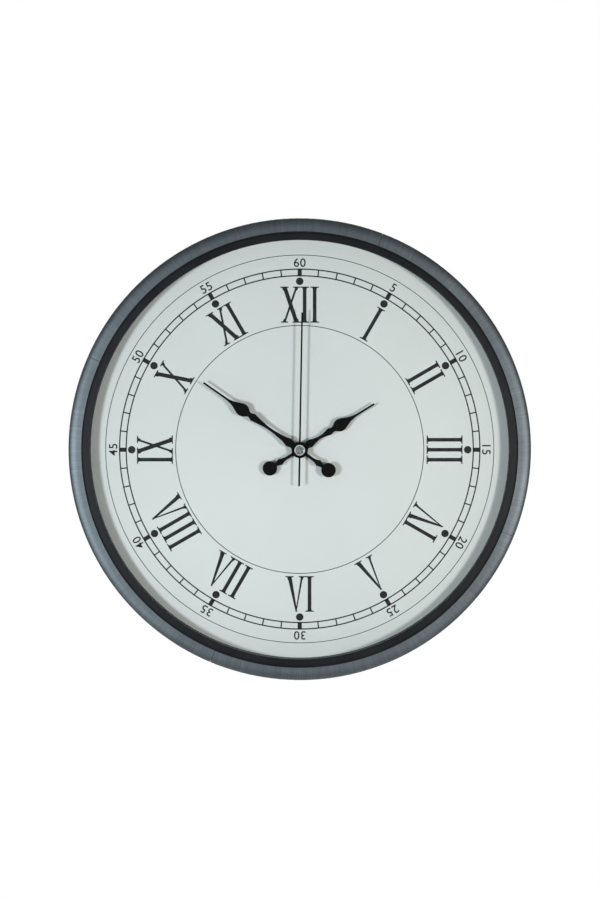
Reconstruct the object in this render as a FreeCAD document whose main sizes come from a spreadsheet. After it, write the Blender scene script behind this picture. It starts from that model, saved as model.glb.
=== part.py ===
import FreeCAD, Part
import math
import os
import Sketcher
from types import SimpleNamespace
from FreeCAD import Placement, Rotation, Vector

# Wall clock. +Z is up, the dial faces -Y, and the wall is the plane y = 0.
# The origin is the point of the wall behind the hands' arbor.
# A depth is a distance from the wall, so the depth d lies at y = -d.

DIMENSIONS = [
    # rim strips and body
    ("rim_radius", 175.0, "outside of the clock"),
    ("rim_inner_radius", 164.7, "inner edge of the rim strips"),
    ("rim_front", 39.6, "depth of the strips' front face"),
    ("rim_back", 6.0, "depth of the strips' rear edge"),
    ("rim_sheet", 1.0, "thickness of the strips"),
    ("rim_roll", 7.0, "radius of the rolled front edge"),
    ("glue_line", 0.3, "adhesive between strips and body"),
    ("first_seam", 21.0, "clock angle of the first seam"),
    ("strip_span", 91.0, "angle of a full strip with its seam"),
    ("seam_gap", 0.12, "angle left open at a seam"),
    ("bezel_radius", 163.5, "outer edge of the raised bezel"),
    ("bezel_raise", 0.7, "height of the bezel above the strips' seat"),
    ("bezel_rounding", 0.5, "rounding of the bezel's edges"),
    ("opening_radius", 158.4, "inner edge of the bezel's lip"),
    ("lip_thickness", 1.8, "thickness of the lip over the lens"),
    ("body_wall", 2.2, "wall of the body"),
    ("channel_chamfer", 2.7, "corner of the body's rear channel"),
    ("boss_root", 0.5, "depth of the screw bosses into the web"),
    # lens, spacer, dial
    ("lens_radius", 161.0, "lens"),
    ("lens_thickness", 2.0, "lens"),
    ("seat_gap", 0.2, "clearance round lens, spacer, dial and cover"),
    ("spacer_height", 9.4, "lens to dial"),
    ("spacer_inner_radius", 158.8, "inner wall between lens and dial"),
    ("dial_thickness", 1.5, "dial"),
    ("dial_hole_gap", 0.3, "dial and gasket round the threaded bushing"),
    # back cover
    ("cover_depth", 3.0, "depth of the cover's rear face"),
    ("cover_thickness", 2.0, "back cover"),
    ("cover_wall", 2.0, "cover's wall that presses on the dial"),
    ("cover_opening", 60.0, "square opening round the movement"),
    ("cover_corner", 4.0, "corner of that opening"),
    ("boss_radius", 3.6, "screw bosses in the body's channel"),
    ("pilot_radius", 1.5, "pilot holes"),
    ("pilot_length", 14.0, "pilot holes"),
    ("screw_count", 6.0, "cover screws"),
    ("screw_length", 14.0, "cover screws below the head"),
    ("screw_head_radius", 2.9, "cover screws"),
    ("screw_head_height", 1.6, "cover screws"),
    ("head_round", 0.4, "rounding of a screw's head, as a share of its height"),
    ("recess_depth", 0.5, "cross recess, as a share of the head's height"),
    ("recess_arm", 0.6, "arm of the recess, as a share of the head's radius"),
    ("recess_width", 0.12, "half width of the recess, as a share of the head's radius"),
    ("thread_gap", 0.05, "clearance round screws and threads"),
    ("screw_hole_gap", 0.3, "clearance of the screws in the cover"),
    # hanger
    ("hanger_height", 110.0, "centre of the hanger plate above the arbor"),
    ("hanger_width", 44.0, "hanger plate"),
    ("hanger_tall", 28.0, "hanger plate"),
    ("hanger_thickness", 1.2, "hanger plate"),
    ("hanger_corner", 4.0, "hanger plate"),
    ("hanger_screw_x", 16.0, "hanger screws"),
    ("hanger_screw_length", 6.0, "hanger screws below the head"),
    ("keyhole_entry_radius", 4.5, "entry of the keyhole"),
    ("keyhole_seat_radius", 2.25, "seat of the keyhole"),
    ("keyhole_rise", 9.0, "entry to seat"),
    ("keyhole_drop", 4.0, "entry below the plate's centre"),
    ("nail_room", 3.0, "room round the keyhole in the cover"),
    # movement case
    ("case_side", 56.0, "movement case, square"),
    ("case_corner", 2.0, "movement case"),
    ("case_wall", 1.2, "movement case"),
    ("back_shell_height", 8.0, "movement case, rear half"),
    ("gasket_thickness", 1.0, "between case and dial"),
    ("gasket_radius", 11.0, "between case and dial"),
    ("washer_thickness", 0.5, "on the dial"),
    ("washer_radius", 5.9, "on the dial"),
    ("nut_height", 2.1, "on the dial"),
    ("bushing_proud", 0.2, "threaded bushing in front of its nut"),
    ("nut_corner_radius", 6.0, "nut across its corners, halved"),
    ("bay_top", -10.9, "battery bay's dividing wall, upper side"),
    ("battery_radius", 7.2, "AA cell"),
    ("battery_length", 48.4, "AA cell without its nub"),
    ("battery_nub", 1.0, "AA cell"),
    ("battery_nub_radius", 2.7, "AA cell"),
    ("battery_z", -19.4, "AA cell's axis"),
    ("battery_round", 0.6, "rounding of the cell's ends"),
    ("nub_root", 0.5, "depth of the cell's nub into its end"),
    ("contact_sheet", 0.4, "battery contacts"),
    ("contact_back_gap", 1.5, "contacts to the rear of the case"),
    ("contact_front_gap", 1.0, "contacts to the front of the case"),
    ("bump_wide", 3.4, "minus contact's bump at its root"),
    ("bump_narrow", 1.6, "minus contact's bump at its tip"),
    # arbors, from the inside out
    ("running_gap", 0.05, "radial clearance of turning fits"),
    ("seconds_radius", 0.6, "seconds arbor"),
    ("minute_wall", 1.1, "minute arbor's tube"),
    ("hour_wall", 0.75, "hour wheel's pipe"),
    ("sleeve_wall", 0.5, "bearing sleeve"),
    ("bushing_wall", 0.75, "threaded bushing"),
    ("bushing_flange_radius", 5.4, "threaded bushing"),
    ("pivot_radius", 0.4, "pivots of the train"),
    ("pivot_length", 0.7, "pivots in the case"),
    ("pin_radius", 0.75, "minute wheel's and knob's pins"),
    ("collet_gap", 0.02, "hands on their arbors"),
    # train: tooth counts, axle distances and directions
    ("rotor_teeth", 8.0, "rotor pinion"),
    ("intermediate_teeth", 48.0, "intermediate wheel"),
    ("intermediate_pinion", 10.0, "intermediate pinion"),
    ("seconds_teeth", 50.0, "seconds wheel"),
    ("seconds_pinion", 8.0, "seconds pinion"),
    ("third_teeth", 60.0, "third wheel"),
    ("third_pinion", 8.0, "third pinion"),
    ("centre_teeth", 64.0, "centre wheel"),
    ("cannon_teeth", 12.0, "cannon pinion on the minute arbor"),
    ("minute_teeth", 36.0, "minute wheel"),
    ("minute_pinion", 10.0, "minute wheel's pinion"),
    ("hour_teeth", 40.0, "hour wheel"),
    ("rotor_distance", 8.4, "rotor to intermediate wheel"),
    ("intermediate_distance", 9.0, "intermediate wheel to the centre"),
    ("third_distance", 9.0, "third wheel to the centre"),
    ("motion_distance", 12.0, "minute wheel to the centre and to the knob"),
    ("intermediate_direction", 30.0, "seen from the centre"),
    ("rotor_direction", 50.0, "seen from the intermediate wheel"),
    ("third_direction", 150.0, "seen from the centre"),
    ("motion_direction", 90.0, "seen from the centre"),
    ("knob_direction", 160.0, "seen from the minute wheel"),
    ("wheel_thickness", 1.0, "all toothed wheels"),
    ("pinion_margin", 0.2, "pinions reach past their wheels"),
    ("first_level", 1.6, "rear wall of the case to the intermediate wheel"),
    ("level_gap", 1.1, "one wheel of the train to the next"),
    ("plate_gap", 0.4, "centre wheel to the middle plate"),
    ("plate_thickness", 0.8, "middle plate"),
    ("motion_gap", 0.5, "middle plate to the minute wheel"),
    ("hour_gap", 0.6, "minute wheel to the hour wheel"),
    ("front_gap", 0.4, "hour wheel to the front wall of the case"),
    ("end_gap", 0.05, "play along an arbor"),
    ("collar_height", 0.3, "collars on arbors and pins"),
    ("collar_wall", 0.7, "collars on the minute arbor"),
    ("arbor_proud", 0.3, "minute arbor in front of its hand"),
    ("pipe_proud", 0.1, "hour pipe in front of its hand"),
    ("addendum", 0.65, "tooth tip above the pitch circle, in modules"),
    ("dedendum", 1.1, "tooth root below the pitch circle, in modules"),
    ("root_share", 0.52, "tooth width at the root, in pitches"),
    ("web_rim", 0.6, "wheel's rim inside its teeth"),
    ("window_share", 0.32, "radius of a wheel's windows, as a share of its web"),
    ("tip_share", 0.2, "tooth width at the tip, in pitches"),
    # inner plates and motor, placed from the arbor
    ("plate_left", -19.5, "middle plate"),
    ("plate_right", 18.5, "middle plate"),
    ("plate_low", -9.4, "middle plate"),
    ("plate_high", 17.6, "middle plate"),
    ("post_radius", 1.0, "posts under the middle plate and stator"),
    ("post_inset", 0.2, "posts to the middle plate's edge"),
    ("leg_inset", 1.5, "stator's posts to its sides"),
    ("leg_drop", 2.0, "stator's posts below the core"),
    ("board_inset", 2.0, "board's posts to its edges"),
    ("stator_left", 2.0, "stator"),
    ("stator_right", 24.4, "stator"),
    ("stator_low", 7.5, "stator"),
    ("stator_bar", 7.1, "stator's bar round the rotor"),
    ("stator_leg", 3.0, "stator's legs and coil core"),
    ("stator_level", 4.8, "rear wall of the case to the stator"),
    ("core_low", 20.5, "coil core's lower side"),
    ("rotor_radius", 2.8, "rotor magnet"),
    ("rotor_height", 2.2, "rotor magnet"),
    ("magnet_lead", 0.6, "rotor's magnet behind the stator"),
    ("rotor_gap", 0.5, "rotor to stator"),
    ("bobbin_wall", 0.4, "bobbin"),
    ("bobbin_flange", 3.2, "bobbin's flange radius"),
    ("bobbin_end_gap", 0.3, "bobbin to the stator's legs"),
    ("winding_radius", 2.9, "coil winding"),
    ("board_left", -26.4, "circuit board"),
    ("board_right", -20.8, "circuit board"),
    ("board_low", -8.5, "circuit board"),
    ("board_high", 22.0, "circuit board"),
    ("board_thickness", 1.0, "circuit board"),
    ("board_stand", 0.5, "pads under the circuit board"),
    ("crystal_radius", 1.0, "quartz crystal's can"),
    ("crystal_drop", 8.0, "crystal's foot below the board's top"),
    ("crystal_length", 6.0, "quartz crystal's can"),
    ("chip_side", 4.0, "control chip"),
    ("chip_height", 1.1, "control chip"),
    ("contact_low", -24.0, "battery contacts"),
    ("contact_high", -14.8, "battery contacts"),
    ("knob_radius", 6.0, "setting knob"),
    ("knob_height", 2.2, "setting knob"),
    ("knob_stand", 0.5, "setting knob to the case"),
    ("knob_stem_radius", 1.9, "setting knob's stem"),
    ("knob_flutes", 18.0, "setting knob's grip"),
    ("flute_radius", 0.5, "setting knob's grip"),
    ("knob_web", 1.0, "setting knob behind its pin"),
    # hands
    ("hour_hand_rise", 3.6, "dial to the hour hand"),
    ("hand_pitch", 1.8, "one hand to the next"),
    ("hand_sheet", 0.5, "thickness of the hands"),
    ("hour_collet", 0.4, "collet behind the hour hand"),
    ("minute_collet", 1.0, "collet behind the minute hand"),
    ("second_collet", 0.5, "collet behind the second hand"),
    ("collet_wall", 1.2, "wall of the hands' collets"),
    ("hour_hub_radius", 5.9, "hour hand"),
    ("minute_hub_radius", 6.2, "minute hand"),
    ("hour_reach", 66.3, "tip of the hour hand"),
    ("minute_reach", 88.9, "tip of the minute hand"),
    ("bead_length", 0.7, "half length of the beads on a hand"),
    ("nub_radius", 2.9, "half width of the bead on a tail"),
    ("ball_radius", 5.5, "ball on a tail"),
    ("ball_place", 26.6, "ball to the arbor"),
    ("spade_root", 0.5, "overlap of a spade with its bead"),
    ("root_narrowing", 0.8, "width of a spade's root, as a share of the bead's"),
    ("needle_end", 0.7, "half width of a hand's tip"),
    ("hour_angle", 58.3, "clock angle of the hour hand"),
    ("minute_angle", 305.0, "clock angle of the minute hand"),
    ("second_angle", 1.0, "clock angle of the second hand"),
    ("second_length", 104.0, "second hand"),
    ("second_tail", 27.3, "second hand"),
    ("second_width", 1.4, "second hand"),
    ("second_taper", 0.85, "width at the tip, as a share of the width at the tail"),
    ("cap_radius", 4.1, "cap on the second hand"),
    ("cap_height", 1.1, "cap on the second hand"),
    ("cap_chamfer", 0.3, "cap's front edge"),
    ("cap_edge", 0.8, "inner edge of the cap's ring, as a share of its radius"),
    ("cap_slope", 0.2, "slope inside the ring"),
    ("cap_recess", 0.35, "depth of the sunk middle"),
]


class Size:
    """A measure of the clock: its number, and the sheet formula that gives it."""

    def __init__(self, number, formula):
        self.number = float(number)
        self.formula = formula

    def __float__(self):
        return self.number

    def __add__(self, other):
        return combined(self, "+", other, float(self) + float(other))

    def __radd__(self, other):
        return combined(other, "+", self, float(other) + float(self))

    def __sub__(self, other):
        return combined(self, "-", other, float(self) - float(other))

    def __rsub__(self, other):
        return combined(other, "-", self, float(other) - float(self))

    def __mul__(self, other):
        return combined(self, "*", other, float(self) * float(other))

    def __rmul__(self, other):
        return combined(other, "*", self, float(other) * float(self))

    def __truediv__(self, other):
        return combined(self, "/", other, float(self) / float(other))

    def __neg__(self):
        return Size(-self.number, f"(0 - {self.formula})")


def formula_of(value):
    return value.formula if isinstance(value, Size) else repr(float(value))


def combined(left, sign, right, number):
    return Size(number, f"({formula_of(left)} {sign} {formula_of(right)})")


def cosine(angle):
    return Size(math.cos(math.radians(float(angle))), f"cos({formula_of(angle)})")


def sine(angle):
    return Size(math.sin(math.radians(float(angle))), f"sin({formula_of(angle)})")


doc = FreeCAD.newDocument("WallClock")
sheet = doc.addObject("Spreadsheet::Sheet", "Sizes")
dim = SimpleNamespace()
for row, (alias, number, meaning) in enumerate(DIMENSIONS, start=1):
    sheet.set(f"A{row}", alias)
    sheet.set(f"B{row}", repr(number))
    sheet.set(f"C{row}", meaning)
    sheet.setAlias(f"B{row}", alias)
    setattr(dim, alias, Size(number, f"Sizes.{alias}"))
doc.recompute()

SUB_PARTS = []

# ---------------------------------------------------------------- helpers


def bind(thing, path, value):
    """Ties a property to the sheet."""
    thing.setExpression(path, formula_of(value))


def new_body(label):
    body = doc.addObject("PartDesign::Body", label)
    body.Label = label
    SUB_PARTS.append(body)
    return body


def place(thing, x=0.0, z=0.0, turn=None):
    """Moves a sub-part across the wall, or turns it clockwise about the Y axis."""
    angle = 0.0 if turn is None else float(turn)
    thing.Placement = Placement(Vector(float(x), 0, float(z)), Rotation(Vector(0, 1, 0), angle))
    bind(thing, "Placement.Base.x", x)
    bind(thing, "Placement.Base.z", z)
    if turn is not None:
        bind(thing, "Placement.Rotation.Angle", turn)


def new_sketch(body, role):
    sketch = body.newObject("Sketcher::SketchObject", body.Label + "_sketch")
    plane = [item for item in body.Origin.OriginFeatures if item.Role == role][0]
    sketch.AttachmentSupport = [(plane, "")]
    sketch.MapMode = "FlatFace"
    return sketch


def front_sketch(body, depth):
    """A sketch parallel to the wall, in X and Z, at a depth."""
    sketch = new_sketch(body, "XZ_Plane")
    sketch.AttachmentOffset = Placement(Vector(0, 0, float(depth)), Rotation())
    bind(sketch, "AttachmentOffset.Base.z", depth)
    return sketch


def fix_point(sketch, item, point, x, y):
    """Holds a point of the sketch at x, y from its origin."""
    for kind, value in (("DistanceX", x), ("DistanceY", y)):
        index = sketch.addConstraint(Sketcher.Constraint(kind, -1, 1, item, point, float(value)))
        name = f"{kind}_{item}_{point}"
        sketch.renameConstraint(index, name)
        bind(sketch, f"Constraints.{name}", value)


def add_circle(sketch, x, y, radius):
    centre = Vector(float(x), float(y), 0)
    item = sketch.addGeometry(Part.Circle(centre, Vector(0, 0, 1), float(radius)))
    fix_point(sketch, item, 3, x, y)
    index = sketch.addConstraint(Sketcher.Constraint("Radius", item, float(radius)))
    sketch.renameConstraint(index, f"radius_{item}")
    bind(sketch, f"Constraints.radius_{item}", radius)


def add_polygon(sketch, points):
    corners = [Vector(float(x), float(y), 0) for x, y in points]
    items = []
    for here, there in zip(corners, corners[1:] + corners[:1]):
        items.append(sketch.addGeometry(Part.LineSegment(here, there)))
    for item, following in zip(items, items[1:] + items[:1]):
        sketch.addConstraint(Sketcher.Constraint("Coincident", item, 2, following, 1))
    for item, (x, y) in zip(items, points):
        fix_point(sketch, item, 1, x, y)


def add_rectangle(sketch, left, right, bottom, top):
    add_polygon(sketch, [(left, bottom), (right, bottom), (right, top), (left, top)])


def pad(body, sketch, length):
    """Adds the sketch's area, from its depth towards the front."""
    feature = body.newObject("PartDesign::Pad", body.Label + "_pad")
    feature.Profile = sketch
    bind(feature, "Length", length)
    doc.recompute()
    return feature


def pocket(body, sketch, length):
    """Cuts the sketch's area, from its depth towards the front."""
    before = body.Shape.Volume
    feature = body.newObject("PartDesign::Pocket", body.Label + "_pocket")
    feature.Profile = sketch
    feature.Reversed = True
    bind(feature, "Length", length)
    doc.recompute()
    if body.Shape.Volume >= before:
        raise RuntimeError(body.Label + ": a pocket cuts nothing")
    return feature


def turned(body, points, angle=360.0):
    """A turned solid from an outline of (radius, depth) points about the Y axis."""
    sketch = new_sketch(body, "XY_Plane")
    add_polygon(sketch, [(radius, -as_size(depth)) for radius, depth in points])
    feature = body.newObject("PartDesign::Revolution", body.Label + "_turned")
    feature.Profile = sketch
    feature.ReferenceAxis = (sketch, ["V_Axis"])
    bind(feature, "Angle", angle)
    doc.recompute()
    return feature


def as_size(value):
    return value if isinstance(value, Size) else Size(value, repr(float(value)))


def repeated(body, feature, sketch, count):
    """Repeats a pad or pocket round the Y axis."""
    pattern = body.newObject("PartDesign::PolarPattern", body.Label + "_pattern")
    pattern.Originals = [feature]
    pattern.Axis = (sketch, ["N_Axis"])
    pattern.Angle = 360.0
    bind(pattern, "Occurrences", count)
    body.Tip = pattern
    doc.recompute()
    return pattern


def round_circles(body, feature, rings, radius):
    """Rounds the circular edges given as (radius, depth)."""
    names = []
    for number, edge in enumerate(feature.Shape.Edges, start=1):
        curve = edge.Curve
        if not isinstance(curve, Part.Circle):
            continue
        for ring_radius, depth in rings:
            same_radius = abs(curve.Radius - float(ring_radius)) < 1e-4
            if same_radius and abs(curve.Center.y + float(depth)) < 1e-4:
                names.append(f"Edge{number}")
    return fillet(body, feature, names, radius)


def round_corners(body, feature, radius):
    """Rounds the straight edges that run front to back."""
    names = []
    for number, edge in enumerate(feature.Shape.Edges, start=1):
        ends = [vertex.Point for vertex in edge.Vertexes]
        if len(ends) == 2 and abs(ends[0].x - ends[1].x) + abs(ends[0].z - ends[1].z) < 1e-6:
            names.append(f"Edge{number}")
    return fillet(body, feature, names, radius)


def fillet(body, feature, names, radius):
    if not names:
        raise RuntimeError(body.Label + ": no edge to round")
    rounding = body.newObject("PartDesign::Fillet", body.Label + "_fillet")
    rounding.Base = (feature, names)
    bind(rounding, "Radius", radius)
    doc.recompute()
    return rounding


def shaped(label, shape, x=0.0, z=0.0, turn=None):
    """A sub-part whose outline a sketch can't hold, such as a toothed wheel."""
    feature = doc.addObject("Part::Feature", label)
    feature.Label = label
    feature.Shape = shape
    place(feature, x, z, turn)
    SUB_PARTS.append(feature)
    return feature


def disc(radius, back, front, x=0.0, z=0.0):
    base = Vector(float(x), -float(back), float(z))
    return Part.makeCylinder(float(radius), float(front) - float(back), base, Vector(0, -1, 0))


def block(left, right, bottom, top, back, front):
    corner = Vector(float(left), -float(front), float(bottom))
    across = float(right) - float(left)
    return Part.makeBox(across, float(front) - float(back), float(top) - float(bottom), corner)


def fused(shapes):
    return shapes[0].multiFuse(shapes[1:]).removeSplitter()


# ---------------------------------------------------------------- derived places

BEZEL_SEAT = dim.rim_front - dim.rim_sheet - dim.glue_line
BEZEL_FRONT = BEZEL_SEAT + dim.bezel_raise
LENS_FRONT = BEZEL_FRONT - dim.lip_thickness
LENS_BACK = LENS_FRONT - dim.lens_thickness
DIAL_FRONT = LENS_BACK - dim.spacer_height
DIAL_BACK = DIAL_FRONT - dim.dial_thickness
HOUR_HAND_BACK = DIAL_FRONT + dim.hour_hand_rise
MINUTE_HAND_BACK = HOUR_HAND_BACK + dim.hand_pitch
SECOND_HAND_BACK = MINUTE_HAND_BACK + dim.hand_pitch

LEVEL_PITCH = dim.wheel_thickness + dim.level_gap
TRAIN_HEIGHT = dim.first_level + 3.0 * LEVEL_PITCH + dim.wheel_thickness
PLATE_HEIGHT = dim.plate_gap + dim.plate_thickness
MOTION_HEIGHT = dim.motion_gap + dim.hour_gap + dim.front_gap + 2.0 * dim.wheel_thickness
CASE_HEIGHT = TRAIN_HEIGHT + PLATE_HEIGHT + MOTION_HEIGHT + 2.0 * dim.case_wall
CASE_FRONT = DIAL_BACK - dim.gasket_thickness
CASE_BACK = CASE_FRONT - CASE_HEIGHT
PARTING = CASE_BACK + dim.back_shell_height
ROOM_BACK = CASE_BACK + dim.case_wall
ROOM_FRONT = CASE_FRONT - dim.case_wall
COVER_FRONT = dim.cover_depth + dim.cover_thickness

SEAT_RADIUS = dim.lens_radius + dim.seat_gap
BODY_RADIUS = dim.rim_radius - dim.rim_sheet - dim.glue_line
CHANNEL_INNER = SEAT_RADIUS + dim.body_wall
CHANNEL_OUTER = BODY_RADIUS - dim.body_wall
# Cuts run this far past the faces they open.
CUT_PAST = 1.0

BOSS_PLACE = (CHANNEL_INNER + CHANNEL_OUTER) / 2.0

MINUTE_BORE = dim.seconds_radius + dim.running_gap
MINUTE_RADIUS = MINUTE_BORE + dim.minute_wall
HOUR_BORE = MINUTE_RADIUS + dim.running_gap
HOUR_RADIUS = HOUR_BORE + dim.hour_wall
SLEEVE_BORE = HOUR_RADIUS + dim.running_gap
SLEEVE_RADIUS = SLEEVE_BORE + dim.sleeve_wall
BUSHING_BORE = SLEEVE_RADIUS + dim.running_gap
BUSHING_RADIUS = BUSHING_BORE + dim.bushing_wall

NUT_BACK = DIAL_FRONT + dim.washer_thickness
NUT_FRONT = NUT_BACK + dim.nut_height
BUSHING_FRONT = NUT_FRONT + dim.bushing_proud

INTERMEDIATE_BACK = ROOM_BACK + dim.first_level
SECONDS_BACK = INTERMEDIATE_BACK + LEVEL_PITCH
THIRD_BACK = SECONDS_BACK + LEVEL_PITCH
CENTRE_BACK = THIRD_BACK + LEVEL_PITCH
CENTRE_FRONT = CENTRE_BACK + dim.wheel_thickness
PLATE_BACK = CENTRE_FRONT + dim.plate_gap
PLATE_FRONT = PLATE_BACK + dim.plate_thickness
MOTION_BACK = PLATE_FRONT + dim.motion_gap
HOUR_BACK = MOTION_BACK + dim.wheel_thickness + dim.hour_gap

THIRD_X = dim.third_distance * cosine(dim.third_direction)
THIRD_Z = dim.third_distance * sine(dim.third_direction)
INTERMEDIATE_X = dim.intermediate_distance * cosine(dim.intermediate_direction)
INTERMEDIATE_Z = dim.intermediate_distance * sine(dim.intermediate_direction)
ROTOR_X = INTERMEDIATE_X + dim.rotor_distance * cosine(dim.rotor_direction)
ROTOR_Z = INTERMEDIATE_Z + dim.rotor_distance * sine(dim.rotor_direction)
MOTION_X = dim.motion_distance * cosine(dim.motion_direction)
MOTION_Z = dim.motion_distance * sine(dim.motion_direction)
KNOB_X = MOTION_X + dim.motion_distance * cosine(dim.knob_direction)
KNOB_Z = MOTION_Z + dim.motion_distance * sine(dim.knob_direction)

# ---------------------------------------------------------------- rim and body


def rim_strip(number, seam):
    """One formed metal strip, flat in front and rolled over the outer edge."""
    body = new_body(f"rim_strip_{number}")
    last = number == 4
    span = 360.0 - 3.0 * dim.strip_span if last else dim.strip_span
    inside = dim.rim_radius - dim.rim_sheet
    seat = dim.rim_front - dim.rim_sheet
    outline = [
        (dim.rim_inner_radius, seat),
        (dim.rim_inner_radius, dim.rim_front),
        (dim.rim_radius, dim.rim_front),
        (dim.rim_radius, dim.rim_back),
        (inside, dim.rim_back),
        (inside, seat),
    ]
    strip = turned(body, outline, span - dim.seam_gap)
    outer = round_circles(body, strip, [(dim.rim_radius, dim.rim_front)], dim.rim_roll)
    round_circles(body, outer, [(inside, seat)], dim.rim_roll - dim.rim_sheet)
    place(body, turn=seam - 90.0)


def frame_ring():
    """The moulded body: outer wall, front web, bezel with its lip, and inner wall."""
    body = new_body("frame_ring")
    web_back = BEZEL_SEAT - dim.body_wall
    outline = [
        (BODY_RADIUS, 0.0),
        (BODY_RADIUS, BEZEL_SEAT),
        (dim.bezel_radius, BEZEL_SEAT),
        (dim.bezel_radius, BEZEL_FRONT),
        (dim.opening_radius, BEZEL_FRONT),
        (dim.opening_radius, LENS_FRONT),
        (SEAT_RADIUS, LENS_FRONT),
        (SEAT_RADIUS, COVER_FRONT),
        (CHANNEL_INNER, COVER_FRONT),
        (CHANNEL_INNER, web_back),
        (CHANNEL_OUTER - dim.channel_chamfer, web_back),
        (CHANNEL_OUTER, web_back - dim.channel_chamfer),
        (CHANNEL_OUTER, 0.0),
    ]
    ring = turned(body, outline)
    roll = dim.rim_roll - dim.rim_sheet - dim.glue_line
    ring = round_circles(body, ring, [(BODY_RADIUS, BEZEL_SEAT)], roll)
    edges = [(dim.bezel_radius, BEZEL_FRONT), (dim.opening_radius, BEZEL_FRONT)]
    round_circles(body, ring, edges, dim.bezel_rounding)
    boss_sketch = front_sketch(body, COVER_FRONT)
    add_circle(boss_sketch, BOSS_PLACE, 0.0, dim.boss_radius)
    boss = pad(body, boss_sketch, web_back - COVER_FRONT + dim.boss_root)
    repeated(body, boss, boss_sketch, dim.screw_count)
    hole_sketch = front_sketch(body, COVER_FRONT)
    add_circle(hole_sketch, BOSS_PLACE, 0.0, dim.pilot_radius)
    hole = pocket(body, hole_sketch, dim.pilot_length)
    repeated(body, hole, hole_sketch, dim.screw_count)


def plain_disc(label, radius, back, thickness, hole=None):
    body = new_body(label)
    sketch = front_sketch(body, back)
    add_circle(sketch, 0.0, 0.0, radius)
    if hole is not None:
        add_circle(sketch, 0.0, 0.0, hole)
    pad(body, sketch, thickness)
    return body


def back_cover():
    """A plate with a wall that presses the dial forward, an opening for the movement
    and one behind the hanger's keyhole."""
    body = new_body("back_cover")
    plate_sketch = front_sketch(body, dim.cover_depth)
    add_circle(plate_sketch, 0.0, 0.0, CHANNEL_OUTER - dim.seat_gap)
    pad(body, plate_sketch, dim.cover_thickness)
    wall_sketch = front_sketch(body, COVER_FRONT)
    add_circle(wall_sketch, 0.0, 0.0, dim.lens_radius)
    add_circle(wall_sketch, 0.0, 0.0, dim.lens_radius - dim.cover_wall)
    pad(body, wall_sketch, DIAL_BACK - COVER_FRONT)
    half = dim.cover_opening / 2.0
    opening_sketch = front_sketch(body, dim.cover_depth)
    add_rectangle(opening_sketch, -half, half, -half, half)
    opening = pocket(body, opening_sketch, dim.cover_thickness)
    round_corners(body, opening, dim.cover_corner)
    side = dim.keyhole_entry_radius + dim.nail_room
    low = dim.hanger_height - dim.keyhole_drop - side
    high = dim.hanger_height - dim.keyhole_drop + dim.keyhole_rise + dim.keyhole_seat_radius
    nail_sketch = front_sketch(body, dim.cover_depth)
    add_rectangle(nail_sketch, -side, side, low, high + dim.nail_room)
    pocket(body, nail_sketch, dim.cover_thickness)
    pilot_sketch = front_sketch(body, dim.cover_depth)
    for side in (-1.0, 1.0):
        add_circle(pilot_sketch, side * dim.hanger_screw_x, dim.hanger_height, dim.pilot_radius)
    pocket(body, pilot_sketch, dim.cover_thickness)
    hole_sketch = front_sketch(body, dim.cover_depth)
    add_circle(hole_sketch, BOSS_PLACE, 0.0, dim.pilot_radius + dim.screw_hole_gap)
    hole = pocket(body, hole_sketch, dim.cover_thickness)
    repeated(body, hole, hole_sketch, dim.screw_count)


def screw(x, z, head_front, length):
    """A pan head behind, a shank towards the front, and a cross recess in the head."""
    head_back = head_front - dim.screw_head_height
    head = disc(dim.screw_head_radius, head_back, head_front, x, z)
    rim = [edge for edge in head.Edges if abs(edge.BoundBox.YMax + float(head_back)) < 1e-6]
    head = head.makeFillet(float(dim.screw_head_height * dim.head_round), rim)
    shank = disc(dim.pilot_radius - dim.thread_gap, head_front, head_front + length, x, z)
    slot_depth = head_back + dim.screw_head_height * dim.recess_depth
    arm = dim.screw_head_radius * dim.recess_arm
    width = dim.screw_head_radius * dim.recess_width
    level = block(x - arm, x + arm, z - width, z + width, head_back, slot_depth)
    upright = block(x - width, x + width, z - arm, z + arm, head_back, slot_depth)
    return head.fuse(shank).cut(level.fuse(upright)).removeSplitter()


def cover_screws():
    count = round(float(dim.screw_count))
    places = [360.0 / count * index for index in range(count)]
    screws = []
    for angle in places:
        x = BOSS_PLACE * cosine(angle)
        z = BOSS_PLACE * sine(angle)
        screws.append(screw(x, z, dim.cover_depth, dim.screw_length))
    shaped("cover_screws", Part.makeCompound(screws))


def hanger_plate():
    """A steel plate with a keyhole: a round entry and a narrower seat above it."""
    body = new_body("hanger_plate")
    back = dim.cover_depth - dim.hanger_thickness
    half = dim.hanger_width / 2.0
    low = dim.hanger_height - dim.hanger_tall / 2.0
    sketch = front_sketch(body, back)
    add_rectangle(sketch, -half, half, low, low + dim.hanger_tall)
    plate = pad(body, sketch, dim.hanger_thickness)
    round_corners(body, plate, dim.hanger_corner)
    entry_z = dim.hanger_height - dim.keyhole_drop
    seat_z = entry_z + dim.keyhole_rise
    entry_sketch = front_sketch(body, back)
    add_circle(entry_sketch, 0.0, entry_z, dim.keyhole_entry_radius)
    pocket(body, entry_sketch, dim.hanger_thickness)
    slot_sketch = front_sketch(body, back)
    seat = dim.keyhole_seat_radius
    add_rectangle(slot_sketch, -seat, seat, entry_z, seat_z)
    pocket(body, slot_sketch, dim.hanger_thickness)
    seat_sketch = front_sketch(body, back)
    add_circle(seat_sketch, 0.0, seat_z, seat)
    pocket(body, seat_sketch, dim.hanger_thickness)
    hole_sketch = front_sketch(body, back)
    for side in (-1.0, 1.0):
        hole = dim.pilot_radius + dim.screw_hole_gap
        add_circle(hole_sketch, side * dim.hanger_screw_x, dim.hanger_height, hole)
    pocket(body, hole_sketch, dim.hanger_thickness)


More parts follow.
